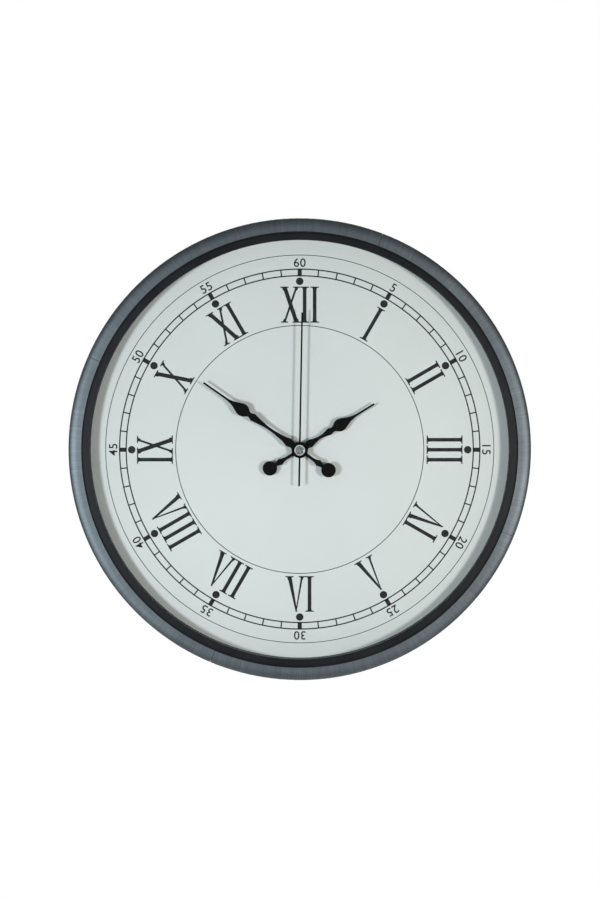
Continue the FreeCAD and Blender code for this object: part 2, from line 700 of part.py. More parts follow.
def hanger_screws():
    head_front = dim.cover_depth - dim.hanger_thickness
    screws = []
    for side in (-1.0, 1.0):
        x = side * dim.hanger_screw_x
        screws.append(screw(x, dim.hanger_height, head_front, dim.hanger_screw_length))
    shaped("hanger_screws", Part.makeCompound(screws))


# ---------------------------------------------------------------- movement case


def front_shell():
    """The front half of the movement's case, open to the rear."""
    body = new_body("movement_front_shell")
    half = dim.case_side / 2.0
    inner = half - dim.case_wall
    sketch = front_sketch(body, PARTING)
    add_rectangle(sketch, -half, half, -half, half)
    shell = pad(body, sketch, CASE_FRONT - PARTING)
    round_corners(body, shell, dim.case_corner)
    for low, high in ((dim.bay_top, inner), (-inner, dim.bay_top - dim.case_wall)):
        room_sketch = front_sketch(body, PARTING)
        add_rectangle(room_sketch, -inner, inner, low, high)
        pocket(body, room_sketch, ROOM_FRONT - PARTING)
    hole_sketch = front_sketch(body, ROOM_FRONT)
    add_circle(hole_sketch, 0.0, 0.0, BUSHING_RADIUS + dim.thread_gap)
    pocket(body, hole_sketch, dim.case_wall)
    pin_sketch = front_sketch(body, ROOM_FRONT)
    for x, z in ((MOTION_X, MOTION_Z), (KNOB_X, KNOB_Z)):
        add_circle(pin_sketch, x, z, dim.pin_radius + dim.running_gap)
    pocket(body, pin_sketch, dim.pivot_length + dim.running_gap)


def back_shell():
    """The rear half of the case, with posts for the middle plate and stator, an open
    battery bay, and a hole for the setting knob."""
    body = new_body("movement_back_shell")
    half = dim.case_side / 2.0
    inner = half - dim.case_wall
    sketch = front_sketch(body, CASE_BACK)
    add_rectangle(sketch, -half, half, -half, half)
    shell = pad(body, sketch, PARTING - CASE_BACK)
    round_corners(body, shell, dim.case_corner)
    room_sketch = front_sketch(body, ROOM_BACK)
    add_rectangle(room_sketch, -inner, inner, dim.bay_top, inner)
    pocket(body, room_sketch, PARTING - ROOM_BACK)
    bay_sketch = front_sketch(body, CASE_BACK)
    add_rectangle(bay_sketch, -inner, inner, -inner, dim.bay_top - dim.case_wall)
    pocket(body, bay_sketch, PARTING - CASE_BACK)
    post_sketch = front_sketch(body, ROOM_BACK)
    for x, z in plate_posts():
        add_circle(post_sketch, x, z, dim.post_radius)
    pad(body, post_sketch, PLATE_BACK - ROOM_BACK)
    leg_sketch = front_sketch(body, ROOM_BACK)
    for x in (dim.stator_left + dim.leg_inset, dim.stator_right - dim.leg_inset):
        add_circle(leg_sketch, x, dim.core_low - dim.leg_drop, dim.post_radius)
    pad(body, leg_sketch, dim.stator_level)
    board_sketch = front_sketch(body, ROOM_BACK)
    middle = (dim.board_left + dim.board_right) / 2.0
    for z in (dim.board_low + dim.board_inset, dim.board_high - dim.board_inset):
        add_circle(board_sketch, middle, z, dim.post_radius)
    pad(body, board_sketch, dim.board_stand)
    pivot_sketch = front_sketch(body, ROOM_BACK - dim.pivot_length)
    hole = dim.pivot_radius + dim.running_gap
    for x, z in ((INTERMEDIATE_X, INTERMEDIATE_Z), (ROTOR_X, ROTOR_Z), (THIRD_X, THIRD_Z)):
        add_circle(pivot_sketch, x, z, hole)
    add_circle(pivot_sketch, 0.0, 0.0, dim.seconds_radius + dim.running_gap)
    pocket(body, pivot_sketch, dim.pivot_length)
    stem_sketch = front_sketch(body, CASE_BACK)
    add_circle(stem_sketch, KNOB_X, KNOB_Z, dim.knob_stem_radius + 2.0 * dim.running_gap)
    pocket(body, stem_sketch, dim.case_wall)


def plate_posts():
    inset = dim.post_radius + dim.post_inset
    left = dim.plate_left + inset
    right = dim.plate_right - inset
    low = dim.plate_low + inset
    high = dim.plate_high - inset
    return [(left, low), (right, low), (right, high), (left, high)]


def middle_plate():
    """Carries the train's front pivots, and lets the minute arbor and knob through."""
    body = new_body("middle_plate")
    sketch = front_sketch(body, PLATE_BACK)
    add_rectangle(sketch, dim.plate_left, dim.plate_right, dim.plate_low, dim.plate_high)
    pad(body, sketch, dim.plate_thickness)
    hole_sketch = front_sketch(body, PLATE_BACK)
    pivot = dim.pivot_radius + dim.running_gap
    for x, z in ((INTERMEDIATE_X, INTERMEDIATE_Z), (ROTOR_X, ROTOR_Z), (THIRD_X, THIRD_Z)):
        add_circle(hole_sketch, x, z, pivot)
    add_circle(hole_sketch, 0.0, 0.0, MINUTE_RADIUS + dim.running_gap)
    add_circle(hole_sketch, MOTION_X, MOTION_Z, dim.pin_radius + dim.running_gap)
    add_circle(hole_sketch, KNOB_X, KNOB_Z, dim.knob_stem_radius + dim.running_gap)
    pocket(body, hole_sketch, dim.plate_thickness)


def threaded_bushing():
    """The brass tube that carries the movement in the dial, with its inner flange."""
    body = new_body("threaded_bushing")
    flange_back = ROOM_FRONT - dim.collar_height
    outline = [
        (BUSHING_BORE, flange_back),
        (BUSHING_BORE, BUSHING_FRONT),
        (BUSHING_RADIUS, BUSHING_FRONT),
        (BUSHING_RADIUS, ROOM_FRONT),
        (dim.bushing_flange_radius, ROOM_FRONT),
        (dim.bushing_flange_radius, flange_back),
    ]
    turned(body, outline)


def mounting_nut():
    body = new_body("mounting_nut")
    sketch = front_sketch(body, NUT_BACK)
    corners = []
    for index in range(6):
        angle = 60.0 * index
        x = dim.nut_corner_radius * cosine(angle)
        corners.append((x, dim.nut_corner_radius * sine(angle)))
    add_polygon(sketch, corners)
    pad(body, sketch, dim.nut_height)
    hole_sketch = front_sketch(body, NUT_BACK)
    add_circle(hole_sketch, 0.0, 0.0, BUSHING_RADIUS + dim.thread_gap)
    pocket(body, hole_sketch, dim.nut_height)


def battery():
    """An AA cell lying across the movement, its nub to the right."""
    half = float(dim.battery_length) / 2.0
    middle = (CASE_BACK + ROOM_FRONT) / 2.0
    start = Vector(-half, -float(middle), float(dim.battery_z))
    cell = Part.makeCylinder(float(dim.battery_radius), 2.0 * half, start, Vector(1, 0, 0))
    ends = [edge for edge in cell.Edges if isinstance(edge.Curve, Part.Circle)]
    cell = cell.makeFillet(float(dim.battery_round), ends)
    tip = Vector(half - float(dim.nub_root), start.y, start.z)
    height = float(dim.battery_nub + dim.nub_root)
    nub = Part.makeCylinder(float(dim.battery_nub_radius), height, tip, Vector(1, 0, 0))
    shaped("battery", cell.fuse(nub).removeSplitter())


def contacts():
    """A flat plus contact on the right, a plate with a bump on the left."""
    half = dim.battery_length / 2.0
    back = CASE_BACK + dim.contact_back_gap
    front = ROOM_FRONT - dim.contact_front_gap
    low = dim.contact_low
    high = dim.contact_high
    near = half + dim.battery_nub
    shaped("plus_contact", block(near, near + dim.contact_sheet, low, high, back, front))
    plate = block(-near - dim.contact_sheet, -near, low, high, back, front)
    middle = (CASE_BACK + ROOM_FRONT) / 2.0
    start = Vector(-float(near), -float(middle), float(dim.battery_z))
    wide = float(dim.bump_wide)
    narrow = float(dim.bump_narrow)
    bump = Part.makeCone(wide, narrow, float(dim.battery_nub), start, Vector(1, 0, 0))
    shaped("minus_contact", plate.fuse(bump).removeSplitter())


# ---------------------------------------------------------------- electronics


def electronics():
    """The circuit board with the crystal's can and the chip on its front."""
    back = ROOM_BACK + dim.board_stand
    front = back + dim.board_thickness
    body = new_body("circuit_board")
    sketch = front_sketch(body, back)
    add_rectangle(sketch, dim.board_left, dim.board_right, dim.board_low, dim.board_high)
    pad(body, sketch, dim.board_thickness)
    middle = (dim.board_left + dim.board_right) / 2.0
    radius = float(dim.crystal_radius)
    base = Vector(float(middle), -float(front) - radius, float(dim.board_high - dim.crystal_drop))
    can = Part.makeCylinder(radius, float(dim.crystal_length), base, Vector(0, 0, 1))
    shaped("quartz_crystal", can)
    chip = new_body("control_chip")
    chip_sketch = front_sketch(chip, front)
    half = dim.chip_side / 2.0
    add_rectangle(chip_sketch, middle - half, middle + half, 0.0, dim.chip_side)
    pad(chip, chip_sketch, dim.chip_height)


def motor():
    """Stator and coil core of lamination, a bobbin on the core, and its winding."""
    level = ROOM_BACK + dim.stator_level
    top = dim.core_low + dim.stator_leg
    stator = new_body("stator")
    sketch = front_sketch(stator, level)
    bar = dim.stator_low + dim.stator_bar
    outline = [
        (dim.stator_left, dim.stator_low),
        (dim.stator_right, dim.stator_low),
        (dim.stator_right, top),
        (dim.stator_right - dim.stator_leg, top),
        (dim.stator_right - dim.stator_leg, bar),
        (dim.stator_left + dim.stator_leg, bar),
        (dim.stator_left + dim.stator_leg, top),
        (dim.stator_left, top),
    ]
    add_polygon(sketch, outline)
    pad(stator, sketch, dim.wheel_thickness)
    hole_sketch = front_sketch(stator, level)
    add_circle(hole_sketch, ROTOR_X, ROTOR_Z, dim.rotor_radius + dim.rotor_gap)
    pocket(stator, hole_sketch, dim.wheel_thickness)

    core_back = level + dim.wheel_thickness
    core = new_body("coil_core")
    core_sketch = front_sketch(core, core_back)
    add_rectangle(core_sketch, dim.stator_left, dim.stator_right, dim.core_low, top)
    pad(core, core_sketch, dim.wheel_thickness)

    left = dim.stator_left + dim.stator_leg + dim.bobbin_end_gap
    right = dim.stator_right - dim.stator_leg - dim.bobbin_end_gap
    axis_z = dim.core_low + dim.stator_leg / 2.0
    axis_depth = core_back + dim.wheel_thickness / 2.0
    start = Vector(float(left), -float(axis_depth), float(axis_z))
    length = float(right) - float(left)
    across = Vector(1, 0, 0)
    gap = dim.thread_gap
    bore = block(left - CUT_PAST, right + CUT_PAST, dim.core_low - gap, top + gap,
                 core_back - gap, core_back + dim.wheel_thickness + gap)
    tube_radius = float(dim.stator_leg) / 2.0 + float(dim.bobbin_wall)
    tube = Part.makeCylinder(tube_radius, length, start, across)
    flange = float(dim.bobbin_wall) * 2.0
    ends = [start, start + across * (length - flange)]
    sides = [Part.makeCylinder(float(dim.bobbin_flange), flange, end, across) for end in ends]
    shaped("coil_bobbin", fused([tube] + sides).cut(bore))
    wound = Vector(start.x + flange, start.y, start.z)
    outer = Part.makeCylinder(float(dim.winding_radius), length - 2.0 * flange, wound, across)
    inner = Part.makeCylinder(tube_radius, length - 2.0 * flange, wound, across)
    shaped("coil_winding", outer.cut(inner))


# ---------------------------------------------------------------- wheels


def toothed(teeth, module, zero, back, front):
    """A toothed disc with straight-sided teeth, one of them at the angle zero."""
    pitch = 360.0 / float(teeth)
    middle = float(module) * float(teeth) / 2.0
    root = middle - float(dim.dedendum) * float(module)
    tip = middle + float(dim.addendum) * float(module)
    root_half = float(dim.root_share) / 2.0
    tip_half = float(dim.tip_share) / 2.0
    points = []
    for index in range(round(float(teeth))):
        centre = float(zero) + index * pitch
        for share, radius in ((-root_half, root), (-tip_half, tip), (tip_half, tip), (root_half, root)):
            angle = math.radians(centre + share * pitch)
            points.append(Vector(radius * math.cos(angle), -float(back), radius * math.sin(angle)))
    face = Part.Face(Part.makePolygon(points + points[:1]))
    return face.extrude(Vector(0, float(back) - float(front), 0))


def module_of(distance, teeth, other_teeth):
    return 2.0 * float(distance) / (float(teeth) + float(other_teeth))


def phase(teeth, zero, direction):
    """How far a toothed disc's tooth is from a direction, in pitches."""
    return (float(direction) - float(zero)) * float(teeth) / 360.0


def meshing_zero(teeth, direction, partner_phase):
    """Where a tooth lies, so that the gaps face the partner's teeth."""
    return float(direction) - (0.5 - partner_phase) * 360.0 / float(teeth)


def spokes(shape, outer, hub, back, front):
    """Cuts four round windows in a wheel's web."""
    room = float(outer) - float(hub)
    for index in range(4):
        angle = 90.0 * index + 45.0
        reach = float(hub) + room / 2.0
        x = reach * math.cos(math.radians(angle))
        z = reach * math.sin(math.radians(angle))
        shape = shape.cut(disc(room * float(dim.window_share), back - CUT_PAST, front + CUT_PAST, x, z))
    return shape


def wheel(teeth, module, zero, back, hub, windows=True):
    front = back + dim.wheel_thickness
    shape = toothed(teeth, module, zero, back, front)
    if windows:
        root = module * (float(teeth) / 2.0 - float(dim.dedendum))
        shape = spokes(shape, root - float(dim.web_rim), hub, back, front)
    return shape


def pinion(teeth, module, zero, wheel_back):
    margin = dim.pinion_margin
    return toothed(teeth, module, zero, wheel_back - margin, wheel_back + dim.wheel_thickness + margin)


def going_train():
    """Rotor, intermediate wheel, seconds wheel, third wheel and centre wheel."""
    pivot_back = ROOM_BACK - dim.pivot_length + dim.end_gap
    pivot_front = PLATE_BACK + dim.plate_thickness - dim.end_gap
    staff = disc(dim.pivot_radius, pivot_back, pivot_front)

    fast = module_of(dim.rotor_distance, dim.rotor_teeth, dim.intermediate_teeth)
    zero = meshing_zero(dim.rotor_teeth, dim.rotor_direction + 180.0, 0.0)
    magnet_back = ROOM_BACK + dim.stator_level - dim.magnet_lead
    magnet = disc(dim.rotor_radius, magnet_back, magnet_back + dim.rotor_height)
    tooth = pinion(dim.rotor_teeth, fast, zero, INTERMEDIATE_BACK)
    shaped("rotor", fused([staff, magnet, tooth]), ROTOR_X, ROTOR_Z)

    second = module_of(dim.intermediate_distance, dim.intermediate_pinion, dim.seconds_teeth)
    big = wheel(dim.intermediate_teeth, fast, dim.rotor_direction, INTERMEDIATE_BACK, 2.0)
    zero = meshing_zero(dim.intermediate_pinion, dim.intermediate_direction + 180.0, 0.0)
    small = pinion(dim.intermediate_pinion, second, zero, SECONDS_BACK)
    link = disc(1.0, INTERMEDIATE_BACK, SECONDS_BACK)
    shape = fused([staff, big, small, link])
    shaped("intermediate_wheel", shape, INTERMEDIATE_X, INTERMEDIATE_Z)

    slow = module_of(dim.third_distance, dim.seconds_pinion, dim.third_teeth)
    big = wheel(dim.seconds_teeth, second, dim.intermediate_direction, SECONDS_BACK, 2.0)
    zero = meshing_zero(dim.seconds_pinion, dim.third_direction, 0.0)
    small = pinion(dim.seconds_pinion, slow, zero, THIRD_BACK)
    arbor_front = SECOND_HAND_BACK + dim.hand_sheet - dim.end_gap
    arbor = disc(dim.seconds_radius, pivot_back, arbor_front)
    shaped("seconds_wheel", fused([arbor, big, small]))

    last = module_of(dim.third_distance, dim.third_pinion, dim.centre_teeth)
    big = wheel(dim.third_teeth, slow, dim.third_direction + 180.0, THIRD_BACK, 2.0)
    zero = meshing_zero(dim.third_pinion, dim.third_direction + 180.0, 0.0)
    small = pinion(dim.third_pinion, last, zero, CENTRE_BACK)
    shaped("third_wheel", fused([staff, big, small]), THIRD_X, THIRD_Z)

    big = wheel(dim.centre_teeth, last, dim.third_direction, CENTRE_BACK, 3.0)
    bore = disc(MINUTE_RADIUS + dim.running_gap, CENTRE_BACK - CUT_PAST, CENTRE_FRONT + CUT_PAST)
    shaped("centre_wheel", big.cut(bore))


def motion_work():
    """Minute arbor with its cannon pinion, minute wheel, hour wheel, and the knob."""
    first = module_of(dim.motion_distance, dim.cannon_teeth, dim.minute_teeth)
    other = module_of(dim.motion_distance, dim.minute_pinion, dim.hour_teeth)

    zero = meshing_zero(dim.cannon_teeth, dim.motion_direction, 0.0)
    collar = MINUTE_RADIUS + dim.collar_wall
    rear = disc(collar, CENTRE_BACK - dim.end_gap - dim.collar_height, CENTRE_BACK - dim.end_gap)
    front = disc(collar, CENTRE_FRONT + dim.end_gap, CENTRE_FRONT + dim.end_gap + dim.collar_height)
    arbor_back = CENTRE_BACK - dim.end_gap - dim.collar_height
    arbor_front = MINUTE_HAND_BACK + dim.hand_sheet + dim.arbor_proud
    tube = disc(MINUTE_RADIUS, arbor_back, arbor_front)
    bore = disc(MINUTE_BORE, arbor_back - CUT_PAST, arbor_front + CUT_PAST)
    cannon = pinion(dim.cannon_teeth, first, zero, MOTION_BACK)
    shaped("minute_arbor", fused([tube, rear, front, cannon]).cut(bore))

    back = MOTION_BACK - dim.pinion_margin
    pin_front = ROOM_FRONT + dim.pivot_length
    pin = disc(dim.pin_radius, PLATE_BACK, pin_front)
    flange = disc(dim.pin_radius * 2.0, PLATE_FRONT + dim.end_gap, back - dim.end_gap)
    shaped("minute_wheel_pin", fused([pin, flange]), MOTION_X, MOTION_Z)
    big = wheel(dim.minute_teeth, first, dim.motion_direction + 180.0, MOTION_BACK, 3.0)
    zero = meshing_zero(dim.minute_pinion, dim.motion_direction + 180.0, 0.0)
    small_front = HOUR_BACK + dim.wheel_thickness + dim.pinion_margin
    small = toothed(dim.minute_pinion, other, zero, MOTION_BACK, small_front)
    hub = disc(dim.pin_radius * 2.0, back, MOTION_BACK)
    bore = disc(dim.pin_radius + dim.running_gap, back - CUT_PAST, small_front + CUT_PAST)
    shaped("minute_wheel", fused([big, small, hub]).cut(bore), MOTION_X, MOTION_Z)

    pipe_front = HOUR_HAND_BACK + dim.hand_sheet + dim.pipe_proud
    big = wheel(dim.hour_teeth, other, dim.motion_direction, HOUR_BACK, 4.0)
    pipe = disc(HOUR_RADIUS, HOUR_BACK, pipe_front)
    bore = disc(HOUR_BORE, HOUR_BACK - CUT_PAST, pipe_front + CUT_PAST)
    shaped("hour_wheel", fused([big, pipe]).cut(bore))

    sleeve_back = HOUR_BACK + dim.wheel_thickness + dim.end_gap
    sleeve = disc(SLEEVE_RADIUS, sleeve_back, BUSHING_FRONT)
    shaped("hour_sleeve", sleeve.cut(disc(SLEEVE_BORE, sleeve_back - CUT_PAST, BUSHING_FRONT + CUT_PAST)))

    partner = phase(dim.minute_teeth, dim.motion_direction + 180.0, dim.knob_direction)
    zero = meshing_zero(dim.cannon_teeth, dim.knob_direction + 180.0, partner)
    knob_front = CASE_BACK - dim.knob_stand
    knob_back = knob_front - dim.knob_height
    grip = disc(dim.knob_radius, knob_back, knob_front)
    for index in range(round(float(dim.knob_flutes))):
        angle = 2.0 * math.pi * index / float(dim.knob_flutes)
        x = float(dim.knob_radius) * math.cos(angle)
        z = float(dim.knob_radius) * math.sin(angle)
        grip = grip.cut(disc(dim.flute_radius, knob_back - CUT_PAST, knob_front + CUT_PAST, x, z))
    gear = pinion(dim.cannon_teeth, first, zero, MOTION_BACK)
    gear_front = MOTION_BACK + dim.wheel_thickness + dim.pinion_margin
    stem = disc(dim.knob_stem_radius, knob_front, gear_front)
    pin_back = knob_back + dim.knob_web
    bore = disc(dim.pin_radius + dim.running_gap, pin_back - dim.end_gap, gear_front + CUT_PAST)
    shaped("setting_knob", fused([grip, stem, gear]).cut(bore), KNOB_X, KNOB_Z)
    shaped("knob_pin", disc(dim.pin_radius, pin_back, pin_front), KNOB_X, KNOB_Z)


# ---------------------------------------------------------------- hands

# Half widths along the blades, as (distance from the arbor, half width).
HOUR_BLADE = [(5.0, 3.0), (7.2, 2.6), (9.2, 3.05), (12.0, 2.25), (15.5, 1.5), (19.0, 1.2),
              (23.0, 1.8), (27.2, 2.8)]
HOUR_SPADE = [(28.5, 2.1), (30.0, 2.0), (32.5, 3.6), (34.5, 4.6), (36.2, 4.8), (38.5, 4.35),
              (42.0, 2.8), (46.5, 1.42), (51.0, 0.82)]
MINUTE_BLADE = [(5.0, 3.2), (7.4, 2.65), (9.4, 3.25), (13.5, 2.4), (18.0, 1.7), (25.5, 1.1),
                (31.5, 1.25), (37.5, 2.0), (43.8, 3.05)]
MINUTE_SPADE = [(45.0, 2.2), (46.5, 1.85), (49.0, 3.4), (51.0, 4.5), (53.0, 4.8), (55.5, 4.35),
                (60.0, 2.3), (64.5, 1.12), (69.0, 0.78)]
TAIL_BLADE = [(-23.0, 2.6), (-19.6, 1.75), (-17.2, 2.4), (-15.0, 1.6), (-12.0, 1.15), (-5.0, 1.15)]


def blade(stations, back, front):
    """A flat blade, smooth through its half widths and the same on both sides."""
    depth = -float(back)
    right = [Vector(half, depth, reach) for reach, half in stations]
    left = [Vector(-half, depth, reach) for reach, half in reversed(stations)]
    edges = []
    for side in (right, left):
        curve = Part.BSplineCurve()
        curve.interpolate(side)
        edges.append(curve.toShape())
    edges.insert(1, Part.makeLine(right[-1], left[0]))
    edges.append(Part.makeLine(left[-1], right[0]))
    face = Part.Face(Part.Wire(edges))
    return face.extrude(Vector(0, float(back) - float(front), 0))


def needle(start, end, start_half, end_half, back, front):
    """A straight taper."""
    depth = -float(back)
    corners = [(start_half, start), (end_half, end), (-end_half, end), (-start_half, start)]
    points = [Vector(x, depth, z) for x, z in corners]
    face = Part.Face(Part.makePolygon(points + points[:1]))
    return face.extrude(Vector(0, float(back) - float(front), 0))


def oval(reach, half_width, half_length, back, front):
    """An elliptical bead across the hand."""
    along = Vector(1, 0, 0) if half_width >= half_length else Vector(0, 0, 1)
    major = max(half_width, half_length)
    minor = min(half_width, half_length)
    centre = Vector(0, -float(back), reach)
    end = centre + along * major
    side = centre + Vector(along.z, 0, along.x) * minor
    ellipse = Part.Ellipse(end, side, centre)
    face = Part.Face(Part.Wire([ellipse.toShape()]))
    return face.extrude(Vector(0, float(back) - float(front), 0))


def spade_hand(label, back, hub, stations, spade, tip, bore, collet, turn):
    """A spade hand: hub, waisted blade, bead, spade, needle, and a tail with a ball."""
    front = back + dim.hand_sheet
    collar, bead = stations[-1]
    overlap = float(dim.spade_root)
    root = (collar - overlap, bead * float(dim.root_narrowing))
    pieces = [
        disc(hub, back, front),
        blade(stations, back, front),
        oval(collar, bead, float(dim.bead_length), back, front),
        blade([root] + spade, back, front),
        needle(spade[-1][0] - overlap, float(tip), spade[-1][1], float(dim.needle_end), back, front),
        blade(TAIL_BLADE, back, front),
        oval(TAIL_BLADE[2][0], float(dim.nub_radius), float(dim.bead_length), back, front),
        disc(dim.ball_radius, back, front, 0.0, -dim.ball_place),
        disc(bore + dim.collet_wall, back - collet, back),
    ]
    hole = disc(bore, back - collet - CUT_PAST, front + CUT_PAST)
    shaped(label, fused(pieces).cut(hole), turn=turn)


def second_hand():
    """A thin stick through the arbor, with a tail and a small hub."""
    body = new_body("second_hand")
    sketch = front_sketch(body, SECOND_HAND_BACK)
    half = dim.second_width / 2.0
    outline = [
        (-half, -dim.second_tail),
        (half, -dim.second_tail),
        (half * dim.second_taper, dim.second_length),
        (-half * dim.second_taper, dim.second_length),
    ]
    add_polygon(sketch, outline)
    pad(body, sketch, dim.hand_sheet)
    hub_sketch = front_sketch(body, SECOND_HAND_BACK - dim.second_collet)
    bore = dim.seconds_radius + dim.collet_gap
    add_circle(hub_sketch, 0.0, 0.0, bore + dim.collet_wall)
    pad(body, hub_sketch, dim.second_collet + dim.hand_sheet)
    hole_sketch = front_sketch(body, SECOND_HAND_BACK - dim.second_collet)
    add_circle(hole_sketch, 0.0, 0.0, bore)
    pocket(body, hole_sketch, dim.second_collet + dim.hand_sheet)
    place(body, turn=dim.second_angle)


def hand_cap():
    """The turned cap: a raised edge round a sunk middle."""
    body = new_body("second_hand_cap")
    back = SECOND_HAND_BACK + dim.hand_sheet
    front = back + dim.cap_height
    edge = dim.cap_radius * dim.cap_edge
    outline = [
        (0.0, back),
        (dim.cap_radius, back),
        (dim.cap_radius, front - dim.cap_chamfer),
        (dim.cap_radius - dim.cap_chamfer, front),
        (edge, front),
        (edge - dim.cap_slope, front - dim.cap_recess),
        (0.0, front - dim.cap_recess),
    ]
    turned(body, outline)


# ---------------------------------------------------------------- the clock

for number in range(1, 5):
    rim_strip(number, dim.first_seam + (number - 1) * dim.strip_span)
frame_ring()
plain_disc("lens", dim.lens_radius, LENS_BACK, dim.lens_thickness)
plain_disc("spacer_ring", dim.lens_radius, DIAL_FRONT, dim.spacer_height, dim.spacer_inner_radius)
dial_hole = BUSHING_RADIUS + dim.dial_hole_gap
plain_disc("dial_plate", dim.lens_radius, DIAL_BACK, dim.dial_thickness, dial_hole)
back_cover()
cover_screws()
hanger_plate()
hanger_screws()
front_shell()
back_shell()
middle_plate()
threaded_bushing()
plain_disc("dial_gasket", dim.gasket_radius, CASE_FRONT, dim.gasket_thickness, dial_hole)
plain_disc("dial_washer", dim.washer_radius, DIAL_FRONT, dim.washer_thickness,
           BUSHING_RADIUS + dim.thread_gap)
mounting_nut()
battery()
contacts()
electronics()
motor()
going_train()
motion_work()
spade_hand("hour_hand", HOUR_HAND_BACK, dim.hour_hub_radius, HOUR_BLADE,
           HOUR_SPADE, dim.hour_reach, HOUR_RADIUS + dim.collet_gap, dim.hour_collet, dim.hour_angle)
spade_hand("minute_hand", MINUTE_HAND_BACK, dim.minute_hub_radius, MINUTE_BLADE,
           MINUTE_SPADE, dim.minute_reach, MINUTE_RADIUS + dim.collet_gap,
           dim.minute_collet, dim.minute_angle)
second_hand()
hand_cap()

doc.recompute()
for item in doc.Objects:
    if "Invalid" in item.State or "Error" in item.State:
        raise RuntimeError(f"{item.Label}: {item.State}")
for part in SUB_PARTS:
    if part.Shape.isNull() or not part.Shape.isValid():
        raise RuntimeError(part.Label + ": no valid shape")

os.makedirs("parts", exist_ok=True)
for part in SUB_PARTS:
    part.Shape.exportStep(f"parts/{part.Label}.step")
    box = part.Shape.BoundBox
    print(f"{part.Label}: {len(part.Shape.Solids)} solid(s), {part.Shape.Volume:.2f} mm3, "
          f"x {box.XMin:.2f} {box.XMax:.2f}, depth {-box.YMax:.2f} {-box.YMin:.2f}, "
          f"z {box.ZMin:.2f} {box.ZMax:.2f}")
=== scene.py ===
import math

import bmesh
import bpy
from mathutils import Matrix, Vector


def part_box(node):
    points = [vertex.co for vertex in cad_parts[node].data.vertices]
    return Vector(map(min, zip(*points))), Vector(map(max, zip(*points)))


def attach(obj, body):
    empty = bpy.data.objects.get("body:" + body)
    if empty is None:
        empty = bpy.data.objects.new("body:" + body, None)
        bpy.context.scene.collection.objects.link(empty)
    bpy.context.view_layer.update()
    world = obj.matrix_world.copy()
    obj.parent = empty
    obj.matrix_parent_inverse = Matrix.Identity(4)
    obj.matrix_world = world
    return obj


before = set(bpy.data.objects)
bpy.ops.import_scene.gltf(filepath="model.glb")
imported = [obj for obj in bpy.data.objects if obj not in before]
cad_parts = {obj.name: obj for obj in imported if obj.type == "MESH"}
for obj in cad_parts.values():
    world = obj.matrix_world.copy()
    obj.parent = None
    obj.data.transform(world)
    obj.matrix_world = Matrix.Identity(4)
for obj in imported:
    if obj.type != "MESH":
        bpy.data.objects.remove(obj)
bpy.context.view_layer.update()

MM = 0.001
ROOT = "case"


# ------------------------------------------------------------ places, from the frame

DIAL_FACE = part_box("dial_plate")[0][1]
COVER_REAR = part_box("back_cover")[1][1]
SHELL_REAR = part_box("movement_back_shell")[1][1]
RIM_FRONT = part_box("rim_strip_1")[0][1]
CAP_RING = 0.76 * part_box("second_hand_cap")[1][0]

# Radii of the dial's print, in millimetres.
OUTER_CIRCLE = 147.5
TRACK_OUTER = 136.9
TRACK_INNER = 131.9
DOT_PLACE = 127.7
DOT_RADIUS = 2.85
NUMERAL_OUTER = 123.7
NUMERAL_INNER = 96.4
INNER_CIRCLE = 94.3
DIGIT_PLACE = 141.8
DIGIT_HEIGHT = 5.7


# ------------------------------------------------------------ node helpers

class Nodes:
    """Builds one material's node tree."""

    def __init__(self, name):
        self.material = bpy.data.materials.new(name)
        self.material.use_nodes = True
        self.tree = self.material.node_tree
        self.tree.nodes.clear()

    def add(self, kind, settings=None, **inputs):
        node = self.tree.nodes.new(kind)
        for key, value in (settings or {}).items():
            setattr(node, key, value)
        for key, value in inputs.items():
            socket = node.inputs[key.replace("_", " ")]
            if isinstance(value, bpy.types.NodeSocket):
                self.tree.links.new(value, socket)
            else:
                socket.default_value = value
        return node

    def math(self, operation, first, second=0.0):
        node = self.tree.nodes.new("ShaderNodeMath")
        node.operation = operation
        for socket, value in zip(node.inputs, (first, second)):
            if isinstance(value, bpy.types.NodeSocket):
                self.tree.links.new(value, socket)
            else:
                socket.default_value = value
        return node.outputs[0]

    def ramp(self, factor, stops):
        node = self.add("ShaderNodeValToRGB", Fac=factor)
        elements = node.color_ramp.elements
        while len(elements) < len(stops):
            elements.new(0.5)
        for element, (place, color) in zip(elements, stops):
            element.position = place
            element.color = (*color, 1.0)
        return node.outputs["Color"]

    def place(self):
        return self.add("ShaderNodeTexCoord").outputs["Object"]

    def noise(self, scale, detail=4.0, vector=None, roughness=0.55):
        vector = vector or self.place()
        node = self.add("ShaderNodeTexNoise", Vector=vector, Scale=scale, Detail=detail,
                        Roughness=roughness)
        return node.outputs["Fac"]

    def bump(self, height, distance, strength=1.0, normal=None):
        inputs = {"Height": height, "Distance": distance, "Strength": strength}
        if normal is not None:
            inputs["Normal"] = normal
        return self.add("ShaderNodeBump", **inputs).outputs["Normal"]

    def finish(self, shader):
        output = self.tree.nodes.new("ShaderNodeOutputMaterial")
        self.tree.links.new(shader, output.inputs["Surface"])
        return self.material


